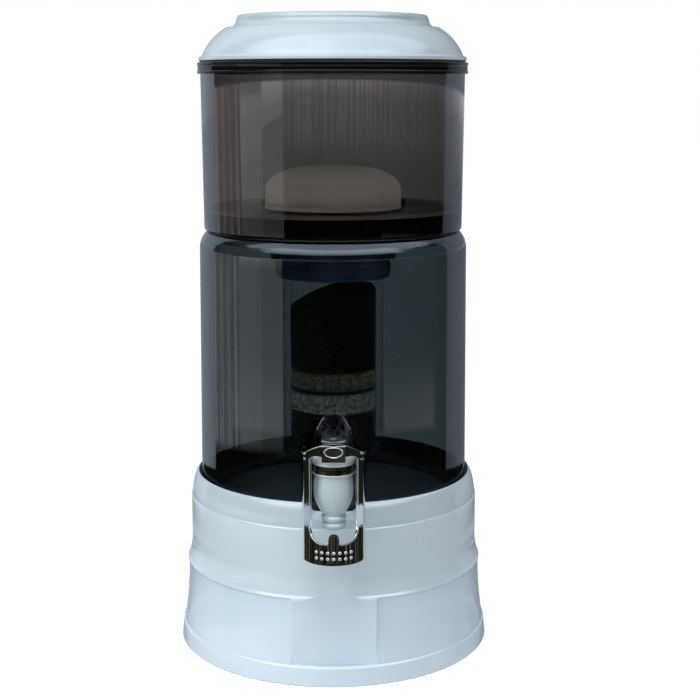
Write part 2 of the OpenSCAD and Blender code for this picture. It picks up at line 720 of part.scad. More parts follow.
base_shell();
rubber_feet();
lower_tank();
tank_gasket();
upper_tank();
lid();
lid_seal();
ceramic_dome();
dome_plate();
dome_gasket();
dome_nut();
cartridge_cap();
cap_gasket();
cartridge_body();
carbon_bed();
brown_beads();
grey_beads();
mineral_bed();
felt_separators();
inlet_screen();
tap_body();
outer_washer();
inner_washer();
shank_nut();
collar_ring();
tap_bonnet();
bonnet_gasket();
lever_pin();
push_lever();
valve_stem();
valve_seal();
valve_spring();
stem_button();
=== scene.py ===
import bmesh
import bpy
import math
import random
from mathutils import Matrix, Vector


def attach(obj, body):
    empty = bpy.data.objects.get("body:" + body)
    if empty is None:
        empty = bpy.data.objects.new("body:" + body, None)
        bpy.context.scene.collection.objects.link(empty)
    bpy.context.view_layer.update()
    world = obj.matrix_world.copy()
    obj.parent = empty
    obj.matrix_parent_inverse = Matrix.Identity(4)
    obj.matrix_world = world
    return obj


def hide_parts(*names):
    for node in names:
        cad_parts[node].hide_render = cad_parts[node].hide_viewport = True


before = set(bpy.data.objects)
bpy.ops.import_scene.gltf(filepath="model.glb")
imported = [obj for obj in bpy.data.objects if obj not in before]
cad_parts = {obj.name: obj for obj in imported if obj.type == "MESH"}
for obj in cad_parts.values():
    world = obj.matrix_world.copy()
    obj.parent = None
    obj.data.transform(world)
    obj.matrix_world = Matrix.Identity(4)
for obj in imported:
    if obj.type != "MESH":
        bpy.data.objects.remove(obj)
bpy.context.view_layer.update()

mm = 0.001
white = (1.0, 1.0, 1.0, 1.0)


class Sizes(dict):  # a dictionary whose values can be read as base.wall
    __getattr__ = dict.__getitem__


class Wire:  # a shader socket that adds and multiplies like a number
    def __init__(self, graph, socket):
        self.graph, self.socket = graph, socket

    def sum(self, operation, *values):
        return self.graph.node("Math", {"operation": operation}, dict(enumerate(values)))

    def __add__(self, other): return self.sum("ADD", self, other)
    def __radd__(self, other): return self.sum("ADD", other, self)
    def __sub__(self, other): return self.sum("SUBTRACT", self, other)
    def __rsub__(self, other): return self.sum("SUBTRACT", other, self)
    def __mul__(self, other): return self.sum("MULTIPLY", self, other)
    def __rmul__(self, other): return self.sum("MULTIPLY", other, self)
    def __truediv__(self, other): return self.sum("DIVIDE", self, other)
    def __rtruediv__(self, other): return self.sum("DIVIDE", other, self)
    def __gt__(self, other): return self.sum("GREATER_THAN", self, other)
    def __lt__(self, other): return self.sum("LESS_THAN", self, other)
    def __abs__(self): return self.sum("ABSOLUTE", self)
    def root(self): return self.sum("SQRT", self)
    def orElse(self, other): return self.sum("MAXIMUM", self, other)

    def ramp(self, low, high, start=0.0, end=1.0):  # smooth step from low to high
        return self.graph.node("MapRange", {"interpolation_type": "SMOOTHSTEP"},
                               {"Value": self, "From Min": low, "From Max": high, "To Min": start, "To Max": end})

    def band(self, low, lowEnd, highStart, high):  # one between lowEnd and highStart, nothing outside low and high
        return self.ramp(low, lowEnd) * self.ramp(high, highStart)


class Graph:
    def __init__(self, owner):
        owner.use_nodes = True
        self.owner, self.tree = owner, owner.node_tree
        self.tree.nodes.clear()

    def node(self, kind, settings=None, sockets=None, output=0):
        made = self.tree.nodes.new("ShaderNode" + kind)
        for key, value in (settings or {}).items():
            setattr(made, key, value)
        for key, value in (sockets or {}).items():
            if isinstance(value, Wire):
                self.tree.links.new(value.socket, made.inputs[key])
            else:
                made.inputs[key].default_value = value
        return Wire(self, made.outputs[output]) if made.outputs else None

    def mix(self, factor, first, second, blend="MIX"):
        made = self.tree.nodes.new("ShaderNodeMix")
        made.data_type, made.blend_type = "RGBA", blend
        for place, value in ((0, factor), (6, first), (7, second)):
            if isinstance(value, Wire):
                self.tree.links.new(value.socket, made.inputs[place])
            elif place:
                made.inputs[place].default_value = (*value, 1.0)
            else:
                made.inputs[place].default_value = value
        return Wire(self, made.outputs[2])

    def split(self, wire):
        return [self.node("SeparateXYZ", {}, {0: wire}, i) for i in range(3)]

    def join(self, x, y, z):
        return self.node("CombineXYZ", {}, {0: x, 1: y, 2: z})

    def place(self, scale=(1.0, 1.0, 1.0)):
        spot = self.node("TexCoord", output=3)
        return self.node("Mapping", {"vector_type": "POINT"}, {"Vector": spot, "Scale": scale})

    def noise(self, spot, scale, detail, rough=0.5):
        return self.node("TexNoise", {}, {"Vector": spot, "Scale": scale, "Detail": detail,
                                                    "Roughness": rough})

    def cloud(self, scale, detail, rough=0.5, stretch=(1.0, 1.0, 1.0)):
        return self.noise(self.place(stretch), scale, detail, rough)

    def bump(self, height, strength, distance):
        return self.node("Bump", {}, {"Height": height, "Strength": strength, "Distance": distance})

    def path(self, name):
        return self.node("LightPath", output=name)

    def blend(self, factor, first, second):
        return self.node("MixShader", {}, {0: factor, 1: first, 2: second})

    def finish(self, **sockets):
        names = {"colour": "Base Color", "rough": "Roughness", "metal": "Metallic", "ior": "IOR", "alpha": "Alpha",
                 "through": "Transmission Weight", "normal": "Normal", "coat": "Coat Weight", "sheen": "Sheen Weight",
                 "coatRough": "Coat Roughness", "specular": "Specular IOR Level"}
        shader = self.node("BsdfPrincipled", {}, {names[k]: v for k, v in sockets.items()})
        self.node("OutputMaterial", {}, {"Surface": shader})
        return self.owner


def newPaint(name):
    return Graph(bpy.data.materials.new(name))


def brighter(colour, times):
    return tuple(c * times for c in colour)


# materials

plasticLook = {
    "white": {"colour": (0.68, 0.79, 0.85), "shade": (0.62, 0.74, 0.81), "rough": 0.22, "coat": 0.5,
              # painted light and shade: heights between which the plastic is painted brighter or duller
              "paintedLightBands": ((0.09, 0.06, (1.11, 1.12, 1.16)), (0.1345, 0.1365, (0.87, 0.88, 0.885)),
                        (0.30, 0.32, (1.15, 1.14, 1.13)), (0.545, 0.548, (0.90, 0.90, 0.865)))},
    "tapWhite": {"colour": (0.63, 0.74, 0.77), "shade": (0.58, 0.70, 0.735), "rough": 0.2, "coat": 0.5},
    "grey": {"colour": (0.42, 0.43, 0.43), "shade": (0.36, 0.37, 0.37), "rough": 0.42, "coat": 0.0},
    "cream": {"colour": (0.86, 0.82, 0.69), "shade": (0.78, 0.74, 0.61), "rough": 0.5, "coat": 0.0,
              "tabs": 0.0602},
}


def mouldedPlastic(name, look):
    g = newPaint(name)
    cloud, grain = g.cloud(9.0, 3.0), g.cloud(900.0, 2.0)
    x, _, height = g.split(g.place())
    colour = g.mix(cloud.ramp(0.35, 0.7), look["colour"], look["shade"])
    for low, high, tone in look.get("paintedLightBands", ()):  # painted light and shade by height: the foot is painted a little brighter, collar and lid top duller
        colour = g.mix(height.ramp(low, high), colour, g.mix(1.0, colour, tone, "MULTIPLY"))
    if "tabs" in look:  # dark tabs that stand out at both sides
        colour = g.mix(abs(x) > look["tabs"], colour, (0.04, 0.04, 0.04))
    return g.finish(colour=colour, rough=cloud * 0.1 + (look["rough"] - 0.05), coat=look["coat"],
                    coatRough=0.08, ior=1.5, normal=g.bump(grain, 0.06, 0.0002))


tankLook = {
    "upper": {"clear": (0.196, 0.192, 0.195), "dull": (0.183, 0.179, 0.183)},
    "lower": {"clear": (0.157, 0.187, 0.199), "dull": (0.144, 0.174, 0.187)},
    "flow": 0.22,  # how strongly the mould's flow lines ripple the walls
}


def smokedPlastic(name, look):
    g = newPaint(name)
    flow = g.cloud(1.0, 3.0, 0.6, (26.0, 26.0, 1.2))  # upright flow lines of the mould
    cloud = g.cloud(6.0, 2.0)
    return g.finish(colour=g.mix(cloud.ramp(0.3, 0.75), look["clear"], look["dull"]), rough=cloud * 0.02,
                    through=1.0, ior=1.47, normal=g.bump(flow, tankLook["flow"], 0.0004))


def thickSmoke(name, shade, top=None, paintedLitTop=None, specular=0.5):  # seen edge on, the plastic is all but black
    g = newPaint(name)
    cloud = g.cloud(12.0, 3.0)
    dark = (shade, shade, shade)
    paint = g.mix(cloud, dark, brighter(dark, 1.8))
    if top:  # painted light: a floor's upper side, from this height, is painted paler, as if lit from above
        height = g.split(g.place())[2]
        pale = g.mix(cloud, paintedLitTop, brighter(paintedLitTop, 1.25))
        paint = g.mix(height.ramp(top - 0.0004, top - 0.0001), paint, pale)
    return g.finish(colour=paint, rough=cloud * 0.04 + 0.02, ior=1.49, specular=specular)


def clearWall(name, colour):  # a thin clear wall, seen mostly where it turns away
    g = newPaint(name)
    flow = g.cloud(1.0, 2.0, stretch=(60.0, 60.0, 6.0))
    facing = g.node("LayerWeight", {}, {"Blend": 0.5}, 1)
    return g.finish(colour=g.mix(flow.ramp(0.3, 0.7), colour, brighter(colour, 0.8)), rough=flow * 0.03,
                    ior=1.47, alpha=facing.ramp(0.5, 1.0, 0.03, 0.45), normal=g.bump(flow, 0.1, 0.0005))


def blueCapPlastic():
    g = newPaint("blueCapPlastic")
    cloud, grip = g.cloud(40.0, 3.0), g.cloud(90.0, 2.0, stretch=(1.0, 1.0, 8.0))
    return g.finish(colour=g.mix(cloud.ramp(0.35, 0.7), (0.17, 0.19, 0.29), (0.09, 0.105, 0.17)),
                    rough=cloud * 0.15 + 0.12, coat=0.6, coatRough=0.05, normal=g.bump(grip, 0.15, 0.0004))


def blackRubber(name, shade):
    g = newPaint(name)
    grain, cloud, colour = g.cloud(700.0, 3.0), g.cloud(30.0, 2.0), (shade, shade, shade)
    return g.finish(colour=g.mix(cloud.ramp(0.3, 0.7), colour, brighter(colour, 1.6)),
                    rough=cloud * 0.2 + 0.45, normal=g.bump(grain, 0.2, 0.0003))


# heights and widths in metres; edge and rim are painted highlight colours, and the ring's dark band, a painted
# reflection, fades in and out between its four heights
chromeLook = Sizes(bright=((0.82, 0.82, 0.80), (0.70, 0.70, 0.67)), dull=((0.125, 0.14, 0.145), (0.085, 0.095, 0.10)),
                   edge=(0.80, 0.84, 0.88), rim=(0.74, 0.78, 0.78), axisY=-0.156, bridgeHalf=0.0095,
                   bridge=(0.2055, 0.206, 0.2192, 0.2196), band=(0.1928, 0.1933, 0.1997, 0.2002))


def chromePlate(name, faces, metal, paintedEdgeGlints=False, paintedReflectionBand=False):
    c, g = chromeLook, newPaint(name)
    smear = g.cloud(60.0, 3.0, stretch=(1.0, 1.0, 0.35))
    x, y, z = g.split(g.place())
    colour, rough = g.mix(smear.ramp(0.35, 0.7), *faces), smear.ramp(0.4, 0.8, 0.012, 0.03)
    if paintedEdgeGlints:  # painted highlights on the bevels, where the surface turns between the plate's faces
        nx, ny, _ = g.split(g.node("TexCoord", output=1))
        outY = y - c.axisY
        reach = x * x + outY * outY + 1e-9
        outward = abs((x * nx + outY * ny) / reach.root())
        bridge = (abs(x) < c.bridgeHalf) * z.band(*c.bridge)  # it is flat, so its edges turn further
        edge = (outward.ramp(0.985, 0.95) * (1.0 - bridge) + outward.ramp(0.90, 0.80) * bridge) \
            * outward.ramp(0.05, 0.15)
        colour, rough, metal = g.mix(edge, colour, c.edge), rough + edge * 0.3, edge.ramp(0.0, 1.0, metal, 0.15)
    if paintedReflectionBand:  # painted reflection: a dull dark band mirroring the dark bench and its olive streaks, with a painted highlight rim above and below it
        mirroredStreak = g.cloud(1.0, 2.0, 0.6, (240.0, 240.0, 2.0)).ramp(0.48, 0.62)
        colour = g.mix(z.band(*c.band), c.rim, g.mix(mirroredStreak, (0.004, 0.004, 0.003), (0.030, 0.027, 0.012)))
    return g.finish(colour=colour, metal=metal, rough=rough, normal=g.bump(g.cloud(420.0, 1.0), 0.03, 0.0002))


def stainlessSteel():
    g = newPaint("stainlessSteel")
    brushed = g.cloud(3.0, 3.0, stretch=(300.0, 300.0, 8.0))
    return g.finish(colour=g.mix(brushed, (0.55, 0.55, 0.54), (0.68, 0.68, 0.67)), metal=1.0,
                    rough=brushed * 0.2 + 0.2, normal=g.bump(brushed, 0.1, 0.0002))


def unglazedCeramic():
    g = newPaint("unglazedCeramic")
    cloud, pits = g.cloud(22.0, 4.0), g.cloud(650.0, 3.0, 0.7)
    colour = g.mix(cloud.ramp(0.35, 0.7), (0.93, 0.90, 0.765), (0.85, 0.815, 0.67))
    colour = g.mix(pits.ramp(0.6, 0.75, 0.0, 0.35), colour, (0.62, 0.57, 0.45))
    return g.finish(colour=colour, rough=pits * 0.15 + 0.72, normal=g.bump(pits, 0.35, 0.0005))


def ceramicBeads(name, pale, deep):
    g = newPaint(name)
    each, fine = g.cloud(330.0, 1.0), g.cloud(2600.0, 2.0)  # the first has about one value a bead
    return g.finish(colour=g.mix(each.ramp(0.35, 0.65), pale, deep), rough=fine * 0.2 + 0.4,
                    normal=g.bump(fine, 0.3, 0.0002))


def blackGranules(name, colour, glint):
    g = newPaint(name)
    cells = g.node("TexVoronoi", {}, {"Vector": g.place(), "Scale": 620.0})
    lump = g.cloud(420.0, 3.0, 0.7)
    return g.finish(colour=g.mix(lump.ramp(0.45, 0.72), colour, glint), rough=lump * 0.35 + 0.35, specular=0.08,
                    normal=g.bump(cells + lump, 0.8, 0.0012))


def filterFelt():
    g = newPaint("filterFelt")
    hair = g.cloud(800.0, 4.0, 0.8, (1.0, 1.0, 3.0))
    return g.finish(colour=g.mix(hair, (0.012, 0.012, 0.014), (0.035, 0.035, 0.037)), rough=0.95, sheen=0.2,
                    normal=g.bump(hair, 0.6, 0.0006))


materials = {
    "white_plastic": mouldedPlastic("whitePlastic", plasticLook["white"]),
    "tap_white": mouldedPlastic("tapPlastic", plasticLook["tapWhite"]),
    "grey_plastic": mouldedPlastic("greyPlastic", plasticLook["grey"]),
    "cream_plastic": mouldedPlastic("creamPlastic", plasticLook["cream"]),
    "smoked_upper": smokedPlastic("smokedWarm", tankLook["upper"]),
    "smoked_lower": smokedPlastic("smokedCool", tankLook["lower"]),
    "thick_smoke": thickSmoke("thickSmoke", 0.005),
    # both floors get a painted lit upper side
    "upper_floor": thickSmoke("upperFloorSmoke", 0.005, 0.390, (0.30, 0.26, 0.245)),
    "lower_floor": thickSmoke("lowerFloorSmoke", 0.005, 0.1332, (0.15, 0.158, 0.17)),
    "flange_smoke": thickSmoke("flangeSmoke", 0.004, specular=0.2),
    "clear_plastic": clearWall("clearTube", (0.30, 0.34, 0.36)),
    "blue_plastic": blueCapPlastic(),
    "silicone": blackRubber("blackSilicone", 0.012),
    "foot_rubber": blackRubber("footRubber", 0.06),
    "chrome": chromePlate("chromePlate", chromeLook.bright, 1.0, paintedEdgeGlints=True),
    "button_chrome": chromePlate("buttonChrome", chromeLook.dull, 0.4),
    "ring_chrome": chromePlate("ringChrome", chromeLook.bright, 0.15, paintedReflectionBand=True),
    "steel": stainlessSteel(),
    "ceramic": unglazedCeramic(),
    "brown_media": ceramicBeads("brownBeads", (0.62, 0.50, 0.27), (0.16, 0.12, 0.06)),
    "grey_media": ceramicBeads("greyBeads", (0.98, 0.86, 0.68), (0.36, 0.31, 0.25)),
    "carbon": blackGranules("carbonGrains", (0.004, 0.004, 0.004), (0.022, 0.022, 0.023)),
    "dark_media": blackGranules("mineralGrains", (0.030, 0.028, 0.026), (0.10, 0.09, 0.08)),
    "felt": filterFelt(),
}
print("materials ready")


# making pieces

def pickOnly(piece, *others):
    bpy.ops.object.select_all(action="DESELECT")
    for one in (piece, *others):
        one.select_set(True)
    bpy.context.view_layer.objects.active = piece


def startPiece(name, primitive, **sizes):
    bpy.ops.object.select_all(action="DESELECT")
    primitive(**sizes)
    piece = bpy.context.active_object
    piece.name = piece.data.name = name
    bpy.ops.object.transform_apply(location=True, rotation=True, scale=True)
    return piece


def editPiece(piece):
    pickOnly(piece)
    bpy.context.tool_settings.mesh_select_mode = (True, False, False)
    bpy.ops.object.mode_set(mode="EDIT")
    bpy.ops.mesh.select_all(action="DESELECT")


def leaveEdit():
    bpy.ops.object.mode_set(mode="OBJECT")


def pickParts(piece, faces=None, edges=None):  # selects faces or edges of the piece in edit mode
    work = bmesh.from_edit_mesh(piece.data)
    bpy.context.tool_settings.mesh_select_mode = (False, edges is not None, faces is not None)
    for part in (work.faces if faces else work.edges):
        part.select_set(bool((faces or edges)(part)))
    work.select_flush_mode()
    bmesh.update_edit_mesh(piece.data)


def shapeCorners(piece, place):  # in edit mode, moves each corner to place(corner)
    work = bmesh.from_edit_mesh(piece.data)
    for corner in work.verts:
        corner.co = place(corner.co)
    bmesh.update_edit_mesh(piece.data)


def reshape(piece, place):
    editPiece(piece)
    shapeCorners(piece, place)
    leaveEdit()


def closeMesh():
    bpy.ops.mesh.select_all(action="SELECT")
    bpy.ops.mesh.remove_doubles(threshold=1e-6)
    bpy.ops.mesh.normals_make_consistent(inside=False)


def applyModifier(piece, kind, **settings):
    pickOnly(piece)
    made = piece.modifiers.new(kind.title(), kind)
    for key, value in settings.items():
        setattr(made, key, value)
    bpy.ops.object.modifier_apply(modifier=made.name)


def roundEdges(piece, width, angle, steps):
    applyModifier(piece, "BEVEL", width=width, segments=steps, limit_method="ANGLE",
                  angle_limit=math.radians(angle), harden_normals=False)


def cutAway(piece, cutter, operation="DIFFERENCE"):
    applyModifier(piece, "BOOLEAN", object=cutter, operation=operation, solver="EXACT")
    bpy.data.objects.remove(cutter)


def sine(degrees):
    return math.sin(math.radians(degrees))


def cosine(degrees):
    return math.cos(math.radians(degrees))


def arcPoints(centre, radius, start, end, steps=10):
    turns = [start + (end - start) * i / steps for i in range(steps + 1)]
    return [(centre[0] + radius * cosine(t), centre[1] + radius * sine(t)) for t in turns]


def near(r, z, *steps):  # points by how far they are from one spot
    return [(r + out, z + up) for out, up in steps]


def easeCorners(points, radius, closed=False, steps=4):
    # rounds each corner of an outline that turns by more than 12 degrees
    eased, count = [], len(points)
    for i, point in enumerate(points):
        if not closed and i in (0, count - 1):
            eased.append(point)
            continue
        here = Vector(point)
        back, ahead = Vector(points[i - 1]) - here, Vector(points[(i + 1) % count]) - here
        if back.length < 1e-6 or ahead.length < 1e-6:
            continue
        if math.degrees(back.angle(-ahead)) < 12.0:
            eased.append(point)
            continue
        a = here + back.normalized() * min(radius, back.length * 0.45)
        b = here + ahead.normalized() * min(radius, ahead.length * 0.45)
        for k in range(steps + 1):
            t = k / steps
            eased.append(tuple(a * (1 - t) ** 2 + here * 2 * t * (1 - t) + b * t ** 2))
    return eased


def turnOutline(name, outline, steps, closed=False):
    # spins an outline of radius and height, in millimetres, about the upright axis
    piece = startPiece(name, bpy.ops.mesh.primitive_plane_add, size=0.001)
    editPiece(piece)
    bpy.ops.mesh.select_all(action="SELECT")
    bpy.ops.mesh.merge(type="CENTER")
    path = [(r * mm, z * mm) for r, z in outline]
    if closed:
        path.append(path[0])
    bpy.ops.transform.translate(value=(path[0][0], 0.0, path[0][1]))
    for (r0, z0), (r1, z1) in zip(path, path[1:]):
        bpy.ops.mesh.extrude_vertices_move(TRANSFORM_OT_translate={"value": (r1 - r0, 0.0, z1 - z0)})
    bpy.ops.mesh.select_all(action="SELECT")
    bpy.ops.mesh.spin(steps=steps, angle=2 * math.pi, center=(0.0, 0.0, 0.0), axis=(0.0, 0.0, 1.0))
    closeMesh()
    leaveEdit()
    return piece


def turnRing(name, outline, ease, easeSteps, steps):  # a closed outline, eased and spun
    return turnOutline(name, easeCorners(outline, ease, closed=True, steps=easeSteps), steps, closed=True)


def block(name, low, high, bevel=0.0):  # a bevelled block between two corners, in millimetres
    piece = startPiece(name, bpy.ops.mesh.primitive_cube_add, size=1.0)
    editPiece(piece)
    size = [h - l for l, h in zip(low, high)]
    shapeCorners(piece, lambda c: Vector([(l + (v + 0.5) * s) * mm for l, v, s in zip(low, c, size)]))
    bpy.ops.mesh.select_all(action="SELECT")
    if bevel:
        bpy.ops.mesh.bevel(offset=bevel * mm, segments=3, affect="EDGES")
    bpy.ops.mesh.normals_make_consistent(inside=False)
    leaveEdit()
    return piece


def shift(x, y, z):  # a move in millimetres
    return Matrix.Translation((x * mm, y * mm, z * mm))


def turn(degrees, axis="Z"):
    return Matrix.Rotation(math.radians(degrees), 4, axis)


def movePiece(piece, matrix):
    piece.data.transform(matrix)
    piece.data.update()
    return piece


def joinPieces(first, others):
    pickOnly(first, *others)
    bpy.ops.object.join()
    return first


def addObject(name, data):
    made = bpy.data.objects.new(name, data)
    bpy.context.scene.collection.objects.link(made)
    return made


def scatterCopies(name, model, matrices):  # many copies of one small mesh in one piece
    work = bmesh.new()
    for matrix in matrices:
        start = len(work.verts)
        work.from_mesh(model.data)
        work.verts.ensure_lookup_table()
        for corner in work.verts[start:]:
            corner.co = matrix @ corner.co
    mesh = bpy.data.meshes.new(name)
    work.to_mesh(mesh)
    work.free()
    bpy.data.objects.remove(model)
    return addObject(name, mesh)


def finishPiece(piece, body, slot, *nodes, look=None, smooth=35.0):
    pickOnly(piece)
    bpy.ops.object.shade_smooth_by_angle(angle=math.radians(smooth))
    piece.data.materials.clear()
    piece.data.materials.append(materials[look or slot])
    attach(piece, body)
    if nodes:
        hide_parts(*nodes)
    print(piece.name, len(piece.data.polygons), "faces")


# base

base = Sizes(
    high=156.0, collarIn=121.7, neck=129.2, foot=139.9, lift=0.8, band=138.1, bandHigh=18.0, wall=3.2,
    ridge=75.0, ridgeOut=133.2, ridgeIn=0.7, flare=60.0, step=134.5, stepIn=1.0, rimArc=50.0, rimTurn=16.9,
    rim=((0.86, 0.28), (0.68, 0.55), (0.48, 0.78), (0.30, 0.93), (0.15, 1.0), (0.05, 0.95), (0.0, 0.84)),
    ledge=130.0, ledgeThick=4.0, ledgeIn=94.7, panelY=131.1, panelWide=72.6, panelTop=93.0, panelEdge=0.9,
    notchWide=41.0, notchDeep=7.0, notchCorner=7.0, notchFrom=141.0, notchSlices=20, slice=1.15,
    gusset=(96.7, 126.2), gussetThick=2.5, gussetDeep=50.0, bossOut=124.7,
    boss=((8.1, 1.2), (8.1, 4.8), (0, 4.8), (0, 10.8), (10.4, 10.8), (11, 10.2), (11, 1.2)))


def baseOutline(depth):
    b = base
    flareZ = b.ridge + math.sqrt(b.flare ** 2 - (b.flare - (b.ridgeOut - b.neck)) ** 2)
    skirtLow, skirtTop = b.band - 0.8, b.ridgeOut - b.ridgeIn
    run, rise = skirtLow - skirtTop, b.ridge - b.bandHigh
    skirt = (run * run + rise * rise) / (2 * run)
    below = lambda drop, radius: 180 + math.degrees(math.asin(drop / radius))
    collar = b.neck - b.stepIn
    points = (near(b.foot, b.lift, (-1, 0), (0, 1)) + [(b.foot - 0.5, 7)]
              + near(b.band, b.bandHigh, (0.3, -2.6), (0.15, -1.7), (-0.35, -0.8)) + [(skirtLow - 0.35, b.bandHigh)]
              + arcPoints((skirtTop + skirt, b.ridge - 1.4), skirt, below(rise - 3.4, skirt), 180, 12)
              # a narrow bead that catches the light, and above it the flare
              + near(b.ridgeOut, b.ridge, (-0.35, -0.9), (0, -0.2), (0, 0.4), (-0.35, 1.1), (-0.95, 1.9), (-1.45, 3.0))
              + arcPoints((b.neck + b.flare, flareZ), b.flare, below(flareZ - b.ridge - 5.5, b.flare), 180)
              + near(b.neck, b.step, (0, -1.4), (-0.1, -0.6), (-0.5, 0.1)) + [(collar, b.step + 0.7)]
              + arcPoints((collar - b.rimArc, b.step), b.rimArc, 2.4, b.rimTurn, 16))
    return [(r - depth, z) for r, z in points]


def makeBase():
    b = base
    outside, under, half = baseOutline(0), b.ledge - b.ledgeThick, b.panelWide / 2
    (r0, z0), bore = outside[-1], b.collarIn
    outline = outside + [(bore + (r0 - bore) * a, z0 + (b.high - z0) * c) for a, c in b.rim] \
        + near(bore, b.ledge, (0, 0.4), (-0.4, 0)) + near(b.ledgeIn, b.ledge, (0.5, 0), (0, -0.5)) \
        + near(b.ledgeIn, under, (0, 0.5), (0.5, 0)) + [(b.neck - b.wall, under)] \
        + [p for p in reversed(baseOutline(b.wall)) if p[1] < under - 3]
    piece = turnOutline("baseMoulding", outline, 240, closed=True)
    # flat front panel: what stands in front of its plane is cut, and its corners stand proud
    cutAway(piece, block("cutPanel", (-half, -160, b.bandHigh - 0.3), (half, -b.panelY, b.panelTop)))
    slab = block("panelSlab", (-half, -b.panelY, b.bandHigh - 2), (half, -b.panelY + 6.4, b.ridge))
    editPiece(slab)
    pickParts(slab, edges=lambda e: all(v.co.y < -0.131 for v in e.verts) and
              (abs(e.verts[0].co.x - e.verts[1].co.x) < 1e-6 or e.verts[0].co.z > 0.07))
    bpy.ops.mesh.bevel(offset=b.panelEdge * mm, segments=4, affect="EDGES")
    leaveEdit()
    cutAway(piece, slab, "UNION")
    cutNotch(piece)
    return piece


def cutNotch(piece):  # notch in the collar for the tap, its rim still rounded
    b = base
    half, corner, start = b.notchWide / 2, b.notchCorner, b.notchFrom

    def besideTap(face):
        middle = face.calc_center_median()
        return middle.z > 0.138 and middle.y < -0.1 and abs(middle.x) < 0.03

    def drop(x):
        if x < half - corner:
            return b.notchDeep
        if x < half:
            return b.notchDeep - (corner - math.sqrt(corner ** 2 - (x - half + corner) ** 2))
        return (b.notchDeep - corner) * max(0.0, 1 - (x - half) / 2.0) ** 2

    def place(spot):
        x, z = abs(spot.x / mm), spot.z / mm
        if z > start and spot.y < -0.1 and x < 26:
            spot.z = (start + (z - start) * (1 - drop(x) / (b.high - start))) * mm
        return spot

    editPiece(piece)
    for i in range(-b.notchSlices, b.notchSlices + 1):
        pickParts(piece, faces=besideTap)
        bpy.ops.mesh.bisect(plane_co=(i * b.slice * mm, 0, 0), plane_no=(1, 0, 0))
    shapeCorners(piece, place)
    leaveEdit()


def makeGussets():
    b = base
    under, half, (inner, outer) = b.ledge - b.ledgeThick, b.gussetThick / 2, b.gusset
    gusset = block("gusset", (inner, -half, under - b.gussetDeep), (outer, half, under + 0.5))
    reshape(gusset, lambda c: Vector((c.x, c.y, under * mm)) if c.x < 0.1 and c.z < 0.1 else c)
    ribs = scatterCopies("baseGussets", gusset, [turn(15 + 30 * i) for i in range(12)])
    corners = [turn(45 + 90 * i) @ shift(b.bossOut, 0, 0) for i in range(4)]
    return joinPieces(ribs, [scatterCopies("footBosses", turnOutline("footBoss", b.boss, 48), corners)])


finishPiece(makeBase(), "base", "white_plastic", "base_shell", smooth=24.0)
finishPiece(makeGussets(), "base", "white_plastic", smooth=30.0)

# lid

lid = Sizes(low=518.0, lip=3.4, wide=115.9, crown=82.5, crownGap=10.0, crownHigh=10.5, valley=7.4, edge=2.6,
            wall=2.4, plug=108.9, plugDeep=9.0, seal=1.3, arcFrom=60.0, arcTo=22.0)


def makeLid():
    v = lid
    start, end = v.crown + v.crownGap, v.wide - 2.8
    sweep = (end - start) / (cosine(v.arcTo) - cosine(v.arcFrom))
    shoulder = v.low + v.lip + 1.0 + sweep * (sine(v.arcFrom) - sine(v.arcTo))
    top = shoulder + v.crownHigh

    def skin(depth):
        return ([(0, top - depth), (v.crown * 0.5, top - depth)]
                + arcPoints((v.crown - v.edge, top - v.edge), v.edge - depth, 90, 12)
                + arcPoints((v.crown + v.valley + 0.6, shoulder + v.valley), v.valley + depth, 180, 262, 12)
                + arcPoints((start - sweep * cosine(v.arcFrom), shoulder - sweep * sine(v.arcFrom)),
                            sweep - depth, v.arcFrom, v.arcTo, 20))
    lip, inside, foot = v.low + v.lip, v.plug - v.wall, v.low - v.seal - v.plugDeep
    ring = near(v.wide, lip, (-2.5, 0.9), (-2.2, 0.45), (-1.2, 0.15), (-0.4, -0.1), (0, -0.7)) \
        + near(v.wide, v.low, (0, 0.3), (-0.3, 0)) + [(v.plug, v.low), (v.plug, foot + 0.4), (v.plug - 0.4, foot)] \
        + [(inside + 0.4, foot), (inside, foot + 0.4), (inside, lip)]
    back = [p for p in reversed(skin(v.wall)) if p[0] < inside]
    return turnOutline("lidMoulding", skin(0) + ring + back, 240)


finishPiece(makeLid(), "cover", "white_plastic", "lid", smooth=40.0)

# tanks

tank = Sizes(ledge=130.0, low=119.5, draft=1.6, top=371.6, heel=14.0, shoulder=20.0, shoulderHigh=14.8,
             mouth=100.0, wall=3.2, tapZ=171.0, shank=8.3)
upper = Sizes(low=372.5, wide=113.6, draft=1.2, rim=516.7, floor=390.0, floorThick=4.0, spigot=99.4,
              spigotDeep=10.0, flangeWide=2.7, flangeHigh=9.7, hem=4.0, stem=7.8)


def makeLowerTank():
    t = tank
    heel, knee = (t.low - t.heel, t.ledge + t.heel), (t.low - t.draft - t.shoulder, t.top - t.shoulderHigh)
    bend, innerBend = (math.degrees(math.asin((t.shoulderHigh - wall) / (t.shoulder - wall))) for wall in (0, t.wall))
    side = [(t.low - t.draft * k / 14, heel[1] + (knee[1] - heel[1]) * k / 14) for k in range(1, 14)]
    outline = ([(heel[0] + 0.5, t.ledge)] + arcPoints(heel, t.heel, -88, 0, 12) + side
               + arcPoints(knee, t.shoulder, 0, bend, 14) + near(t.mouth, t.top, (0.4, 0), (0, -0.4), (0, -t.wall))
               + arcPoints(knee, t.shoulder - t.wall, innerBend, 0, 12) + [(r - t.wall, z) for r, z in reversed(side)]
               + arcPoints(heel, t.heel - t.wall, 0, -88, 12))
    piece = turnOutline("lowerTankWall", outline, 256, closed=True)
    drill = startPiece("drill", bpy.ops.mesh.primitive_cylinder_add, vertices=64, radius=t.shank * mm,
                       depth=0.06, location=(0, -0.118, t.tapZ * mm), rotation=(math.pi / 2, 0, 0))
    cutAway(piece, drill)
    return piece


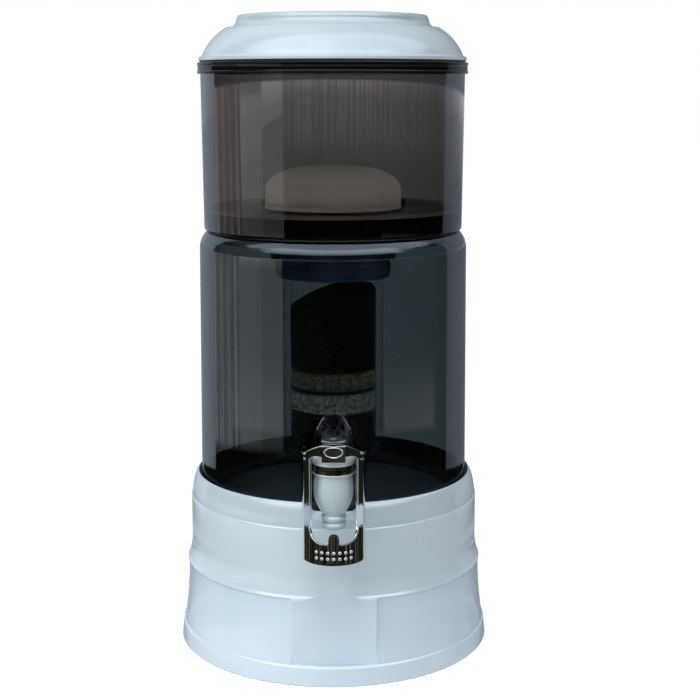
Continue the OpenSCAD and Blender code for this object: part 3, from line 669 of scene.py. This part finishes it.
def makeLowerFloor():
    t = tank
    r, low, high = t.low - t.heel + 0.4, t.ledge + 0.1, t.ledge + t.wall + 0.05
    return turnOutline("lowerTankFloor", easeCorners([(0, low), (r, low), (r, high), (0, high)], 0.4), 160)


def makeUpperTank():
    u = upper
    neck, inside = u.rim - u.flangeHigh, u.wide - tank.wall
    foot, high = u.low + u.hem, u.low + 1.0
    side = [(u.wide + u.draft * k / 10, foot + (neck - foot) * k / 10) for k in range(1, 11)]
    innerSide = [(inside + u.draft * k / 10, high + (u.rim - high) * k / 10) for k in range(11)]
    outline = (near(inside, u.low, (0, 0.2), (0.2, 0)) + arcPoints((u.wide - 2.8, u.low + 2.8), 2.8, -90, 0, 8)
               + side + [(u.wide + u.draft, u.rim)] + innerSide[::-1])
    return turnOutline("upperTankWall", outline, 256, closed=True)


def makeFlange():  # the thick rolled rim that the lid sits on
    u = upper
    inner, neck, rim = u.wide + u.draft + 0.05, u.rim - u.flangeHigh, u.rim
    out = u.wide + u.draft + u.flangeWide
    outline = [(inner, neck)] + near(out, neck, (-0.7, 0), (0, 0.7), (0, 1.9), (-0.45, 2.4)) \
        + near(out, rim, (-0.45, -2.4), (0, -1.9), (0, -0.7), (-0.7, 0)) + [(inner, rim)]
    return turnRing("tankFlange", outline, 0.18, 3, 256)


def makeSpigot():  # the upper tank's foot, with the ring that drops into the lower one
    u = upper
    low, out, inner, r = u.low, u.spigot, u.spigot - tank.wall, u.wide - tank.wall - 0.05
    deep, high = low - u.spigotDeep, low + 3.2
    outline = [(inner, deep), (out, deep), (out, low), (r, low), (r, high), (inner, high)]
    return turnRing("tankSpigot", outline, 0.5, 3, 192)


def makeUpperFloor():
    u = upper
    r, top, low = u.wide - tank.wall - 0.05, u.floor, u.floor - u.floorThick
    foot = u.low + 1.2  # a dark skirt hangs down inside the wall, a sheet of painted shade for the space under the floor
    outline = ([(u.stem, low), (r - 1.6, low), (r - 1.6, foot), (r, foot), (r, top + 3.0)]
               + arcPoints((r - 3.1, top + 3.1), 3.1, -8, -90, 6) + [(70, top), (u.stem, top)])
    return turnOutline("upperTankFloor", outline, 192, closed=True)


finishPiece(makeLowerTank(), "lower", "smoked_lower", "lower_tank")
finishPiece(makeLowerFloor(), "lower", "smoked_lower", look="lower_floor")
finishPiece(makeUpperTank(), "upper", "smoked_upper", "upper_tank")
finishPiece(makeFlange(), "upper", "smoked_upper", look="flange_smoke", smooth=12.0)
finishPiece(makeSpigot(), "upper", "smoked_upper", look="thick_smoke")
finishPiece(makeUpperFloor(), "upper", "smoked_upper", look="upper_floor")

# ceramic dome

dome = Sizes(wide=60.0, low=395.0, side=9.5, rise=24.0, wall=7.0, blunt=0.8)


def makeDome():
    d = dome

    def half(depth):  # a blunt quarter oval, and its last point on the axis
        points = [((d.wide - depth) * max(0.0, cosine(a)) ** d.blunt,
                   d.low + d.side + (d.rise - depth) * sine(a) ** d.blunt) for a in range(0, 91, 3)]
        return points[:-1] + [(0, points[-1][1])]
    outline = near(d.wide, d.low, (-0.6, 0), (0, 0.6)) + half(0) + half(d.wall)[::-1] + [(d.wide - d.wall, d.low)]
    return turnOutline("domeShell", outline, 160, closed=True)


finishPiece(makeDome(), "upper", "ceramic", "ceramic_dome", smooth=50.0)

# cartridge

cartridge = Sizes(cap=355.0, capHigh=24.0, capWide=50.5, rib=1.4, ribHigh=2.2, body=44.7, bore=38.7,
                  bodyLow=169.0, bodyTop=347.0, sump=3.0, bed=38.4, stem=7.55, neck=13.5, neckHigh=14.0,
                  grips=12, grip=(2.2, 51.8), lug=(5.0, 55.4), ribsAt=(3, 9, 15))
beds = Sizes(  # slip: the carbon's middle height, its rise to one side, and its waves
    mineral=Sizes(low=172.0, top=208.0, seed=9, pull=0.9),
    grey=Sizes(low=210.8, top=229.3, seed=5, bead=1.9, perRow=62, rows=5),
    brown=Sizes(low=232.1, top=248.1, seed=3, bead=1.35, perRow=88, rows=6),
    carbon=Sizes(low=250.9, top=323.7, seed=4, pull=0.6, slip=(314.0, 8.7, 1.2), lump=0.5))


def makeCap():
    c = cartridge
    top, low, r, inner = c.cap, c.cap - c.capHigh, c.capWide, c.body + 0.3
    ribs = []
    for z in (low + up for up in c.ribsAt):
        ribs += near(r, z, (0, 0), (c.rib, 0.4), (c.rib, c.ribHigh - 0.4), (0, c.ribHigh))
    outline = ([(inner, low), (r, low)] + ribs + near(r, top, (0, -2), (-0.3, -0.9), (-1.4, 0))
               + near(c.neck, top, (1.5, 0), (0, 1.5)) + near(c.neck, top + c.neckHigh, (0, -0.5), (-0.5, 0))
               + [(c.stem, top + c.neckHigh), (c.stem, top + 2.7), (4, top + 2.7), (4, top - 6), (inner, top - 6)])
    piece = turnRing("capShell", outline, 0.4, 2, 128)
    lugs = []
    for i in range(c.grips):  # grip blocks round the rim, two of them long lugs
        wide, reach = c.grip if i % 6 else c.lug
        lugs.append(movePiece(block("lug", (r - 1, -wide, top - 10), (reach, wide, top - 2), 0.5), turn(30 * i)))
    return joinPieces(piece, lugs)


def makeTube():
    c = cartridge
    outline = [(0, c.bodyLow)] + near(c.body, c.bodyLow, (-0.8, 0), (-0.2, 0.2), (0, 0.8)) \
        + near(c.body, c.bodyTop, (0, -0.3), (-0.3, 0)) + near(c.bore, c.bodyTop, (0.3, 0), (0, -0.3)) \
        + [(c.bore, c.bodyLow + c.sump), (0, c.bodyLow + c.sump)]
    return turnOutline("clearTube", outline, 192)


def drawIn(spot, chance, most):  # how far a random pull of up to most brings a corner to the axis
    return 1 - chance.uniform(0.0, most * mm) / max(0.006, math.hypot(spot.x, spot.y))


def makeCarbon():
    bed = beds.carbon
    low, top, (middle, rise, wave) = bed.low, bed.top, bed.slip
    r, chance = cartridge.bed - 0.2, random.Random(bed.seed)
    rows = [(0, low)] + [(r, low + k * 3.0) for k in range(23)] + [(r * (1 - k / 12), top - 1.0) for k in range(12)] \
        + [(0, top - 1.0)]
    piece = turnOutline("carbonGrains", rows, 120)

    def settle(spot):  # the top has slipped lower at one side, and is lumpy
        share = min(1.0, max(-1.0, (spot.x + 0.012) / 0.024))
        slope = (middle + rise * share - wave * math.cos(spot.y * 90)) * mm
        if spot.z > low * mm + 0.001:
            spot.z = low * mm + (spot.z - low * mm) * (slope - low * mm) / (top * mm - low * mm)
            inward = drawIn(spot, chance, bed.pull)
            spot.x, spot.y = spot.x * inward, spot.y * inward
            spot.z += chance.uniform(-bed.lump * mm, bed.lump * mm)
        return spot
    reshape(piece, settle)
    return piece


def makeBeads(name, bed):
    low, top, radius = bed.low, bed.top, bed.bead
    model = startPiece("bead", bpy.ops.mesh.primitive_uv_sphere_add, segments=8, ring_count=6, radius=radius * mm)
    reshape(model, lambda c: Vector((c.x, c.y, c.z * 0.94)))
    chance, spots, ringR = random.Random(bed.seed), [], cartridge.bed - radius - 0.25
    for row in range(bed.rows):
        z = low + radius + 0.1 + (top - low - 2 * radius - 0.3) * row / (bed.rows - 1)
        for i in range(bed.perRow):
            angle = 2 * math.pi * (i + 0.5 * (row % 2) + chance.uniform(-0.16, 0.16)) / bed.perRow
            r = ringR - chance.uniform(0, 0.55)
            size = chance.uniform(0.86, 1.0)
            z1 = min(top - radius, max(low + radius, z + chance.uniform(-0.25, 0.25) * radius))
            spots.append(shift(r * math.cos(angle), r * math.sin(angle), z1)
                         @ Matrix.Rotation(chance.uniform(0, 3), 4, "Z") @ Matrix.Scale(size, 4))
    coreR, low, top = ringR - 0.9, low + 0.05, top - 0.05
    core = turnOutline(name + "Core", easeCorners([(0, low), (coreR, low), (coreR, top), (0, top)], 0.8), 64)
    return joinPieces(scatterCopies(name, model, spots), [core])


def makeMineral():
    bed = beds.mineral
    low, top, r, chance = bed.low, bed.top, cartridge.bed - 0.2, random.Random(bed.seed)
    rows = [(0, low + 0.02), (r, low + 0.02)] + [(r, low + k * 2.2) for k in range(1, 17)] + [(0, top - 0.02)]
    piece = turnOutline("mineralGrains", rows, 110)

    def rough(spot):
        inward = drawIn(spot, chance, bed.pull)
        return Vector((spot.x * inward, spot.y * inward, spot.z))
    reshape(piece, rough)
    return piece


finishPiece(makeCap(), "upper", "blue_plastic", "cartridge_cap")
finishPiece(makeTube(), "upper", "clear_plastic", "cartridge_body")
finishPiece(makeCarbon(), "upper", "carbon", "carbon_bed", smooth=60.0)
finishPiece(makeBeads("brownBeads", beds.brown), "upper", "brown_media", "brown_beads", smooth=60.0)
finishPiece(makeBeads("greyBeads", beds.grey), "upper", "grey_media", "grey_beads", smooth=60.0)
finishPiece(makeMineral(), "upper", "dark_media", "mineral_bed", smooth=60.0)

# tap

tap = Sizes(x=0.0, y=-156.0, z=171.0, spout=-25.5, bead=3.0, urn=16.4, urnArc=36.0, urnZ=8.9, cuff=15.6, plug=20.5,
            top=30.5, outlet=5.5, chamber=9.5, seat=-7.0, socket=12.0, shank=8.0, flange=14.0, flangeY=33.9,
            flangeThick=3.9, bonnet=17.5, bonnetTop=37.0, pivotY=-11.0, pivotZ=40.5, ear=9.25, earThick=2.5, earR=3.4)
atTap = shift(tap.x, tap.y, tap.z)
alongY = turn(-90, "X")  # an upright turned piece laid along +Y


def makeUrn():
    t = tap
    neckR, flangeIn, end = t.urn - 9.2, t.flangeY - t.flangeThick, t.flangeY + 30.0
    outline = (near(t.outlet, t.spout, (0, 0.3), (0.3, 0)) + arcPoints((neckR, t.spout + t.bead), t.bead, -88, 66, 12)
               + arcPoints((neckR, t.spout + 3 * t.bead), t.bead, -66, 66, 12)
               + arcPoints((t.urn - t.urnArc, t.urnZ), t.urnArc, -36, 14.6, 22)
               + [(t.cuff, t.plug)] + near(t.cuff, t.top, (0, -0.4), (-0.3, -0.1))
               + [(t.socket, t.top - 0.1), (t.socket, t.plug), (t.chamber, t.plug), (t.chamber, t.seat),
                  (t.outlet, t.seat)])
    urn = movePiece(turnOutline("tapUrn", outline, 128, closed=True), atTap)
    thread = [(t.shank - (i % 2) * 0.7, t.flangeY + 2 + i) for i in range(28)]
    outline = [(0, 9.0), (t.shank + 1, 9.0)] + near(t.shank, flangeIn, (1, -1.2), (2.2, 0)) \
        + near(t.flange, flangeIn, (-0.8, 0), (0, 0.8)) + [(t.flange, t.flangeY), (t.shank, t.flangeY)] + thread \
        + near(t.shank, end, (-0.7, 0), (-3, 0), (-3, -22)) + [(0, end - 22)]
    return joinPieces(urn, [movePiece(turnOutline("tapShank", outline, 64), atTap @ alongY)])


def makeBonnet():
    t = tap
    plug, inner, half = t.plug + 1.5, t.socket - 0.1, t.earThick / 2
    outline = ([(0, plug), (inner, plug), (inner, t.top)] + near(t.bonnet, t.top, (-0.4, 0.9), (0, 1.2))
               + arcPoints((t.bonnet - 4.5, t.top + 2), 4.5, 0, 70)
               + [(11.4, t.bonnetTop - 0.1), (10.6, t.bonnetTop), (2.2, t.bonnetTop), (2.2, t.top + 2.5),
                  (0, t.top + 2.5)])
    bonnet = movePiece(turnOutline("bonnetCap", outline, 128), atTap)
    ears = []
    for x in (-t.ear, t.ear):
        disc = easeCorners([(0, -half), (t.earR, -half), (t.earR, half), (0, half)], 0.3)
        ear = movePiece(turnOutline("ear", disc, 48), shift(x, t.pivotY, t.pivotZ) @ turn(90, "Y"))
        foot = block("earFoot", (x - half, t.pivotY - t.earR, t.top + 2.4),
                     (x + half, t.pivotY + t.earR, t.pivotZ), 0.2)
        ears += [movePiece(ear, atTap), movePiece(foot, atTap)]
    return joinPieces(bonnet, ears)


def makeRing():
    t = tap
    inner, out, low, high = t.cuff + 0.05, t.urn + 0.8, t.plug, t.top + 0.8
    outline = [(inner, low)] + near(out, low, (-0.6, 0), (0, 0.6), (0, 1.1), (-0.35, 1.5)) \
        + near(out, high, (-0.35, -1.5), (0, -1.1), (0, -0.6), (-0.6, 0)) + [(inner, high)]
    return movePiece(turnRing("chromeRing", outline, 0.3, 3, 128), atTap)


finishPiece(makeUrn(), "lower", "white_plastic", "tap_body", look="tap_white")
finishPiece(makeBonnet(), "lower", "white_plastic", "tap_bonnet", look="tap_white")
finishPiece(makeRing(), "lower", "chrome", "collar_ring", look="ring_chrome", smooth=12.0)

# push lever

lever = Sizes(
    r=25.5, thick=2.2, low=-49.5, side=37.0, crown=50.0, flank=3.0, half=19.4, windowLow=-32.5, windowHigh=39.5,
    foot=12.0, head=5.5, nub=4.4, nubHigh=5.0, nubStep=0.33, nubBase=6.8, bridge=18.6, bridgeLow=35.0,
    bridgeHigh=48.4, strap=(15.4, 5.0), edge=0.8, oval=8.1, bead=0.75, ovalZ=43.3, ovalScale=(0.9, 0.5, 0.7, 1.0),
    stud=1.3, studHigh=0.7, studTurn=11.0, studRows=(5.5, 10.5),
    loops=(0.0, 0.05, 0.2, 0.36, 0.52, 0.68, 0.83, 0.95, 1.0))  # close together at the plate's edges


def leverSpot(run, z):  # a point of the plate, by its run round the half pipe
    r = lever.r
    quarter = r * math.pi / 2
    if abs(run) <= quarter:
        return Vector((r * math.sin(run / r), -r * math.cos(run / r), z)) * mm
    return Vector((math.copysign(r, run), abs(run) - quarter, z)) * mm


def evenly(points, count):  # points at even distances along a line
    steps = [math.dist(a, b) for a, b in zip(points, points[1:])]
    total, out, at, i = sum(steps), [], 0.0, 0
    for k in range(count):
        want = total * k / count
        while i < len(steps) - 1 and at + steps[i] < want:
            at += steps[i]
            i += 1
        t = (want - at) / steps[i]
        out.append(tuple(a + (b - a) * t for a, b in zip(points[i], points[i + 1])))
    return out


def leverLoops():  # loops from the window's edge out to the plate's edge
    v = lever
    run = lambda x: v.r * math.asin(max(-1.0, min(1.0, x / v.r)))
    edge, rise = v.r * math.pi / 2 + v.flank, v.crown - v.side
    arch = (v.r ** 2 + rise ** 2) / (2 * rise)
    archTop = lambda x: v.crown - arch + math.sqrt(max(0.0, arch ** 2 - x * x))
    h, c, d, lo, hi = v.half, v.foot, v.head, v.windowLow, v.windowHigh
    # the right half of each loop, from the middle of the foot to the middle of the top
    window = [(v.nub * sine(a), lo + v.nubHigh + v.nub * cosine(a)) for a in range(0, 91, 10)] \
        + near(v.nub, lo, (0, 1.4), (0.5, 0.5), (1.4, 0))
    lowCorner, highCorner = arcPoints((h - c, lo + c), c, -90, 0, 8), arcPoints((h - d, hi - d), d, 0, 90, 8)
    inner = (evenly(window + lowCorner[:1], 20) + evenly(lowCorner, 24) + evenly([lowCorner[-1], highCorner[0]], 20)
             + evenly(highCorner, 12) + evenly([highCorner[-1], (0, hi)], 8))
    inner = [(run(x), z) for x, z in inner] + [(0.0, hi)]
    across = [v.r * sine(90 - 3 * i) for i in range(31)]
    archLine = [(run(x), archTop(x)) for x in across]
    knee, neck = (edge, lo + c * 0.4), (edge, v.side - 6)
    outer = ([(v.nubStep * i, v.low) for i in range(20)] + evenly([(v.nubBase, v.low), (edge, v.low), knee], 24)
             + evenly([knee, neck], 20) + evenly([neck, (edge, v.side)] + archLine[:12], 12)
             + evenly(archLine[11:], 8) + [(0.0, v.crown)])
    loops = []
    for k, share in enumerate(v.loops):
        even = k / (len(v.loops) - 1)
        right = []
        for i, (a, b) in enumerate(zip(inner, outer)):  # the first points run round the nub, and their lines draw in
            past = min(1.0, max(0.0, (i - 16) / 4))
            t = even ** 1.5 + (share - even ** 1.5) * past
            inwards = v.nubBase * even * (1 - even) * min(1.0, a[0] / v.nub) * min(1.0, max(0.0, (19 - i) / 5))
            right.append((a[0] + (b[0] - a[0]) * t - inwards, a[1] + (b[1] - a[1]) * t))
        loops.append(right + [(-s, z) for s, z in reversed(right[1:-1])])
    return loops


def makeLever():
    v = lever
    loops = leverLoops()
    piece = startPiece("chromeLever", bpy.ops.mesh.primitive_circle_add, vertices=len(loops[0]), radius=0.03,
                       fill_type="NOTHING")
    editPiece(piece)
    bpy.ops.mesh.select_all(action="SELECT")
    spots = []
    for loop in loops:  # each loop is extruded from the last one and put in its place
        if spots:
            bpy.ops.mesh.extrude_region_move()
        work = bmesh.from_edit_mesh(piece.data)
        ring = [c for c in work.verts if c.select]
        rounded = lambda spot: tuple(round(n, 7) for n in spot)
        places = {rounded(spot): i for i, spot in enumerate(spots)}
        order = [places[rounded(c.co)] for c in ring] if spots else range(len(ring))
        spots = [leverSpot(s, z) for s, z in loop]
        for corner, i in zip(ring, order):
            corner.co = spots[i]
        bmesh.update_edit_mesh(piece.data)
    closeMesh()
    leaveEdit()
    mesh = piece.data  # the faces look outwards before the plate gets its thickness
    if sum(math.copysign(1, f.normal.dot(Vector((f.center.x, f.center.y, 0)))) for f in mesh.polygons) < 0:
        mesh.flip_normals()
    applyModifier(piece, "SOLIDIFY", thickness=v.thick * mm, offset=-1.0, use_even_offset=False)
    roundEdges(piece, v.edge * mm, 40.0, 3)
    half, strapHalf, rise = v.bridge / 2, v.strap[0] / 2, v.strap[1] / 2
    bridge = block("bridge", (-half, -v.r - 0.05, v.bridgeLow), (half, -v.r + 5.0, v.bridgeHigh))
    roundEdges(bridge, 0.25 * mm, 30.0, 1)
    strap = block("strap", (-strapHalf, -v.r + v.thick, tap.pivotZ - rise), (strapHalf, 4.5, tap.pivotZ + rise), 0.5)
    return movePiece(joinPieces(piece, [bridge, strap, makeOval(), makeStuds()]), atTap)


def makeStuds():  # two rows of grip studs on the foot of the plate
    v = lever
    domed = [(v.stud * sine(a), v.studHigh * cosine(a)) for a in range(20, 91, 14)]
    stud = turnOutline("stud", [(0, v.studHigh)] + domed + [(v.stud, -0.3)], 20)
    return scatterCopies("studs", stud, [turn(i * v.studTurn) @ shift(0, -v.r, v.low + up) @ turn(90, "X")
                                         for up in v.studRows for i in range(-3, 4)])


def makeOval():  # oval bead on the sloping front of the bridge
    v = lever
    ring = turnOutline("leverOval", arcPoints((v.oval, 0), v.bead, 0, 330, 11), 96, closed=True)
    return movePiece(ring, shift(0, -v.r - 0.2, v.ovalZ) @ turn(90, "X") @ Matrix.Diagonal(v.ovalScale))


button = Sizes(low=42.7, sides=60, rim=0.0092, groove=0.9, outline=(
    (0, 0.0), (3.6, 0.0), (3.6, 2.2), (9.3, 2.2), (9.8, 2.5), (9.95, 2.9), (9.95, 4.3), (9.5, 4.8), (8.8, 5.2),
    (3.2, 5.2), (2.8, 4.7), (0, 4.7)))


def makeButton():
    b = button
    piece = turnOutline("knurledButton", b.outline, b.sides)

    def knurl(spot):  # every second line of corners round the rim lies deeper
        odd = round(math.degrees(math.atan2(spot.y, spot.x)) * b.sides / 360) % 2
        grooved = odd and math.hypot(spot.x, spot.y) > b.rim
        return Vector((spot.x * b.groove, spot.y * b.groove, spot.z)) if grooved else spot
    reshape(piece, knurl)
    return movePiece(piece, atTap @ shift(0, 0, b.low))


finishPiece(makeLever(), "lever", "chrome", "push_lever", smooth=30.0)
finishPiece(makeButton(), "valve", "chrome", "stem_button", look="button_chrome", smooth=5.0)

# CAD nodes that keep their own shape, by look

keptNodes = {
    "silicone": ("tank_gasket", "lid_seal", "dome_gasket", "cap_gasket", "outer_washer", "inner_washer",
                 "bonnet_gasket", "valve_seal"),
    "steel": ("inlet_screen", "lever_pin", "valve_stem", "valve_spring"),
    "foot_rubber": ("rubber_feet",), "cream_plastic": ("dome_plate",), "grey_plastic": ("dome_nut",),
    "felt": ("felt_separators",), "tap_white": ("shank_nut",),
}
for look, nodeNames in keptNodes.items():
    for node in (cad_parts[name] for name in nodeNames):
        if not node.material_slots:
            node.data.materials.append(materials[look])
        for slot in node.material_slots:
            slot.material = materials[look]
print("kept nodes painted")

# camera, light and floor

studio = Sizes(eye=(0.0, -1.27553, 0.49647), pitch=0.18111, yaw=0.01177, lens=74.043, floor=(0.34, 0.34, 0.34),
               floorGlow=0.88, ambient=0.36, inside=8.4, key=120.0, top=112.0, fill=12.0, dim=0.006, behind=0.74,
               sky=2.2, soft=2.6)


def makeCamera():
    data = bpy.data.cameras.new("photoCamera")
    data.lens, data.sensor_width, data.clip_start, data.clip_end = studio.lens, 36.0, 0.01, 100.0
    camera = bpy.context.scene.camera = addObject("photoCamera", data)
    camera.location = studio.eye
    camera.rotation_euler = (math.pi / 2 - studio.pitch, 0.0, -studio.yaw)


def makeLamp(name, place, size, power):
    data = bpy.data.lights.new(name, "AREA")
    data.shape, data.size, data.energy = "DISK", size, power
    lamp = addObject(name, data)
    lamp.location = place
    lamp.rotation_euler = (Vector((0, 0, 0.3)) - Vector(place)).to_track_quat("-Z", "Y").to_euler()
    lamp.visible_glossy = lamp.visible_transmission = False


def roomLight(g, side, z):
    # what gloss mirrors, by direction: a dim room with two pale panels and streaks at the left, light behind,
    # a glow near eye height, a soft box high in front and a bright sky above
    left, across = side * -1.0, abs(side)
    streak = g.noise(g.join(side * 9.0, z * 0.6, 0.3), 2.6, 4.0, 0.75).ramp(0.40, 0.66)
    slant = z + (left - 0.95) * 0.02
    nearPanel = (left.band(0.745, 0.76, 1.095, 1.105)
                 * (z.ramp(-0.105, -0.085, 0.49, 1.0) + slant.ramp(-0.042, -0.038) * 0.9 + z.ramp(-0.03, -0.008) * 1.2))
    farPanel = (left.band(1.095, 1.105, 1.50, 1.52)
                * (z.ramp(-0.105, -0.085, 0.72, 1.45) + slant.ramp(-0.06, -0.05) * 0.3 - z.ramp(-0.022, -0.018) * 0.6))
    glow = ((z.ramp(-0.085, -0.03) * 0.85 + z.ramp(-0.028, -0.006) * 1.1) * (streak * 0.8 + 0.7)
            * side.ramp(0.3, 1.9, 1.0, 0.22) * left.ramp(0.76, 0.745))
    bench = z.band(-0.225, -0.219, -0.219, -0.165) * across.band(0.72, 0.78, 1.6, 1.75) * 0.45
    cut = z.band(-0.240, -0.230, -0.0105, -0.0065)
    streaks = left.band(1.50, 1.52, 2.13, 2.16) * (streak * 0.95 + 0.30) * cut
    behind = (left.ramp(2.13, 2.16) + side.ramp(1.96, 2.0) * 0.54) * across.ramp(2.2, 2.9, 1.0, 0.55) \
        * studio.behind * z.ramp(-0.26, -0.02, 0.9, 1.0) * z.ramp(-0.60, -0.50)
    ragged = z + g.noise(g.join(side * 5.0, z * 9.0, 0.7), 1.8, 5.0, 0.7) * 0.5
    sky = ragged.ramp(0.78, 0.84) * (1.0 - abs(side - 0.15).ramp(1.7, 1.9)) * studio.sky
    soft = z.band(0.36, 0.46, 0.70, 0.80) * across.ramp(1.25, 1.0) * studio.soft
    return (((nearPanel + farPanel + glow) * cut + bench + studio.dim, (1.0, 0.985, 0.955)),
            (streaks * z.ramp(-0.112, -0.09), (1.0, 0.82, 0.77)), (streaks * z.ramp(-0.09, -0.112), (0.94, 0.96, 0.93)),
            (behind + z.ramp(0.3, 0.9) * 0.5 + sky + soft, (0.865, 0.985, 1.17)))


def seenPlainly(g):  # by the camera, straight or through smoke without mirroring
    camera = g.path("Is Camera Ray")
    return camera.orElse(g.path("Is Transmission Ray") * (g.path("Glossy Depth") < 0.5))


def makeWorld():
    world = bpy.data.worlds.new("paleRoom")
    bpy.context.scene.world = world
    g = Graph(world)
    x, y, z = g.split(g.node("TexCoord", output=0))
    side = x.sum("ARCTAN2", x, y * -1.0)  # 0 towards the viewer, + to the right
    parts = roomLight(g, side, z)
    tint = g.join(*(sum(light * colour[i] for light, colour in parts) for i in range(3)))
    # lower still there is the dark bench, with olive streaks and one pale band that the lever mirrors
    streak = g.noise(g.join(side * 6.0, 0.4, z * 2.0), 2.2, 3.0, 0.7).ramp(0.5, 0.72) \
        * z.ramp(-0.282, -0.300, 0.22, 1.0)
    bench = g.mix(streak, (0.010, 0.010, 0.008), (0.17, 0.165, 0.10))
    low = g.mix(z.band(-0.2985, -0.2970, -0.2850, -0.2835), bench, (0.52, 0.60, 0.74))
    front = z.ramp(-0.236, -0.240) * (abs(side) < 1.9)
    back = z.ramp(-0.252, -0.254) * (abs(side) > 1.9) * (abs(side) < 2.75)
    ambient, mirrored, plain, inside = (
        g.node("Background", {}, {"Color": colour, "Strength": strength}) for colour, strength in
        ((white, studio.ambient), (g.mix(front + back, tint, low), 1.0), (white, 1.0), (white, studio.inside)))
    seen = g.blend(g.path("Diffuse Depth") > 0.5, plain, inside)  # brighter for what stands inside the tanks
    glanced = g.path("Is Glossy Ray").orElse(g.path("Is Transmission Ray"))
    mixed = g.blend(seenPlainly(g), g.blend(glanced, ambient, mirrored), seen)
    g.node("OutputWorld", {}, {"Surface": mixed})


def makeFloor():
    floor = startPiece("paleFloor", bpy.ops.mesh.primitive_grid_add, x_subdivisions=4, y_subdivisions=4, size=30.0)
    g = newPaint("floorPaint")
    x, y, _ = g.split(g.place())
    sheet = g.mix((x * x + y * y).root().ramp(0.5, 1.1), (0.76, 0.78, 0.80), (0.2, 0.2, 0.2))  # lights the foot
    diffuse = g.node("BsdfDiffuse", {}, {"Color": g.mix(g.cloud(1.5, 3.0), studio.floor, (0.30, 0.30, 0.30))})
    glow, plain, dark = (g.node("Emission", {}, {"Color": colour, "Strength": strength}) for colour, strength
                         in ((white, studio.floorGlow), (sheet, 1.0), ((0.01, 0.01, 0.01, 1.0), 1.0)))
    both = g.node("AddShader", {}, {0: diffuse, 1: glow})
    mixed = g.blend(seenPlainly(g), g.blend(g.path("Is Transmission Ray"), plain, dark), both)
    g.node("OutputMaterial", {}, {"Surface": mixed})
    floor.visible_glossy = False  # what gloss mirrors below is painted in the world
    floor.data.materials.append(g.owner)


makeCamera()
makeWorld()
makeLamp("keyLamp", (-4.5, -2.6, 3.2), 3.2, studio.key)
makeLamp("topLamp", (-0.3, -3.0, 5.4), 2.6, studio.top)
makeLamp("fillLamp", (4.8, -3.4, 1.6), 3.0, studio.fill)
makeFloor()
bpy.context.scene.view_settings.view_transform = "Standard"
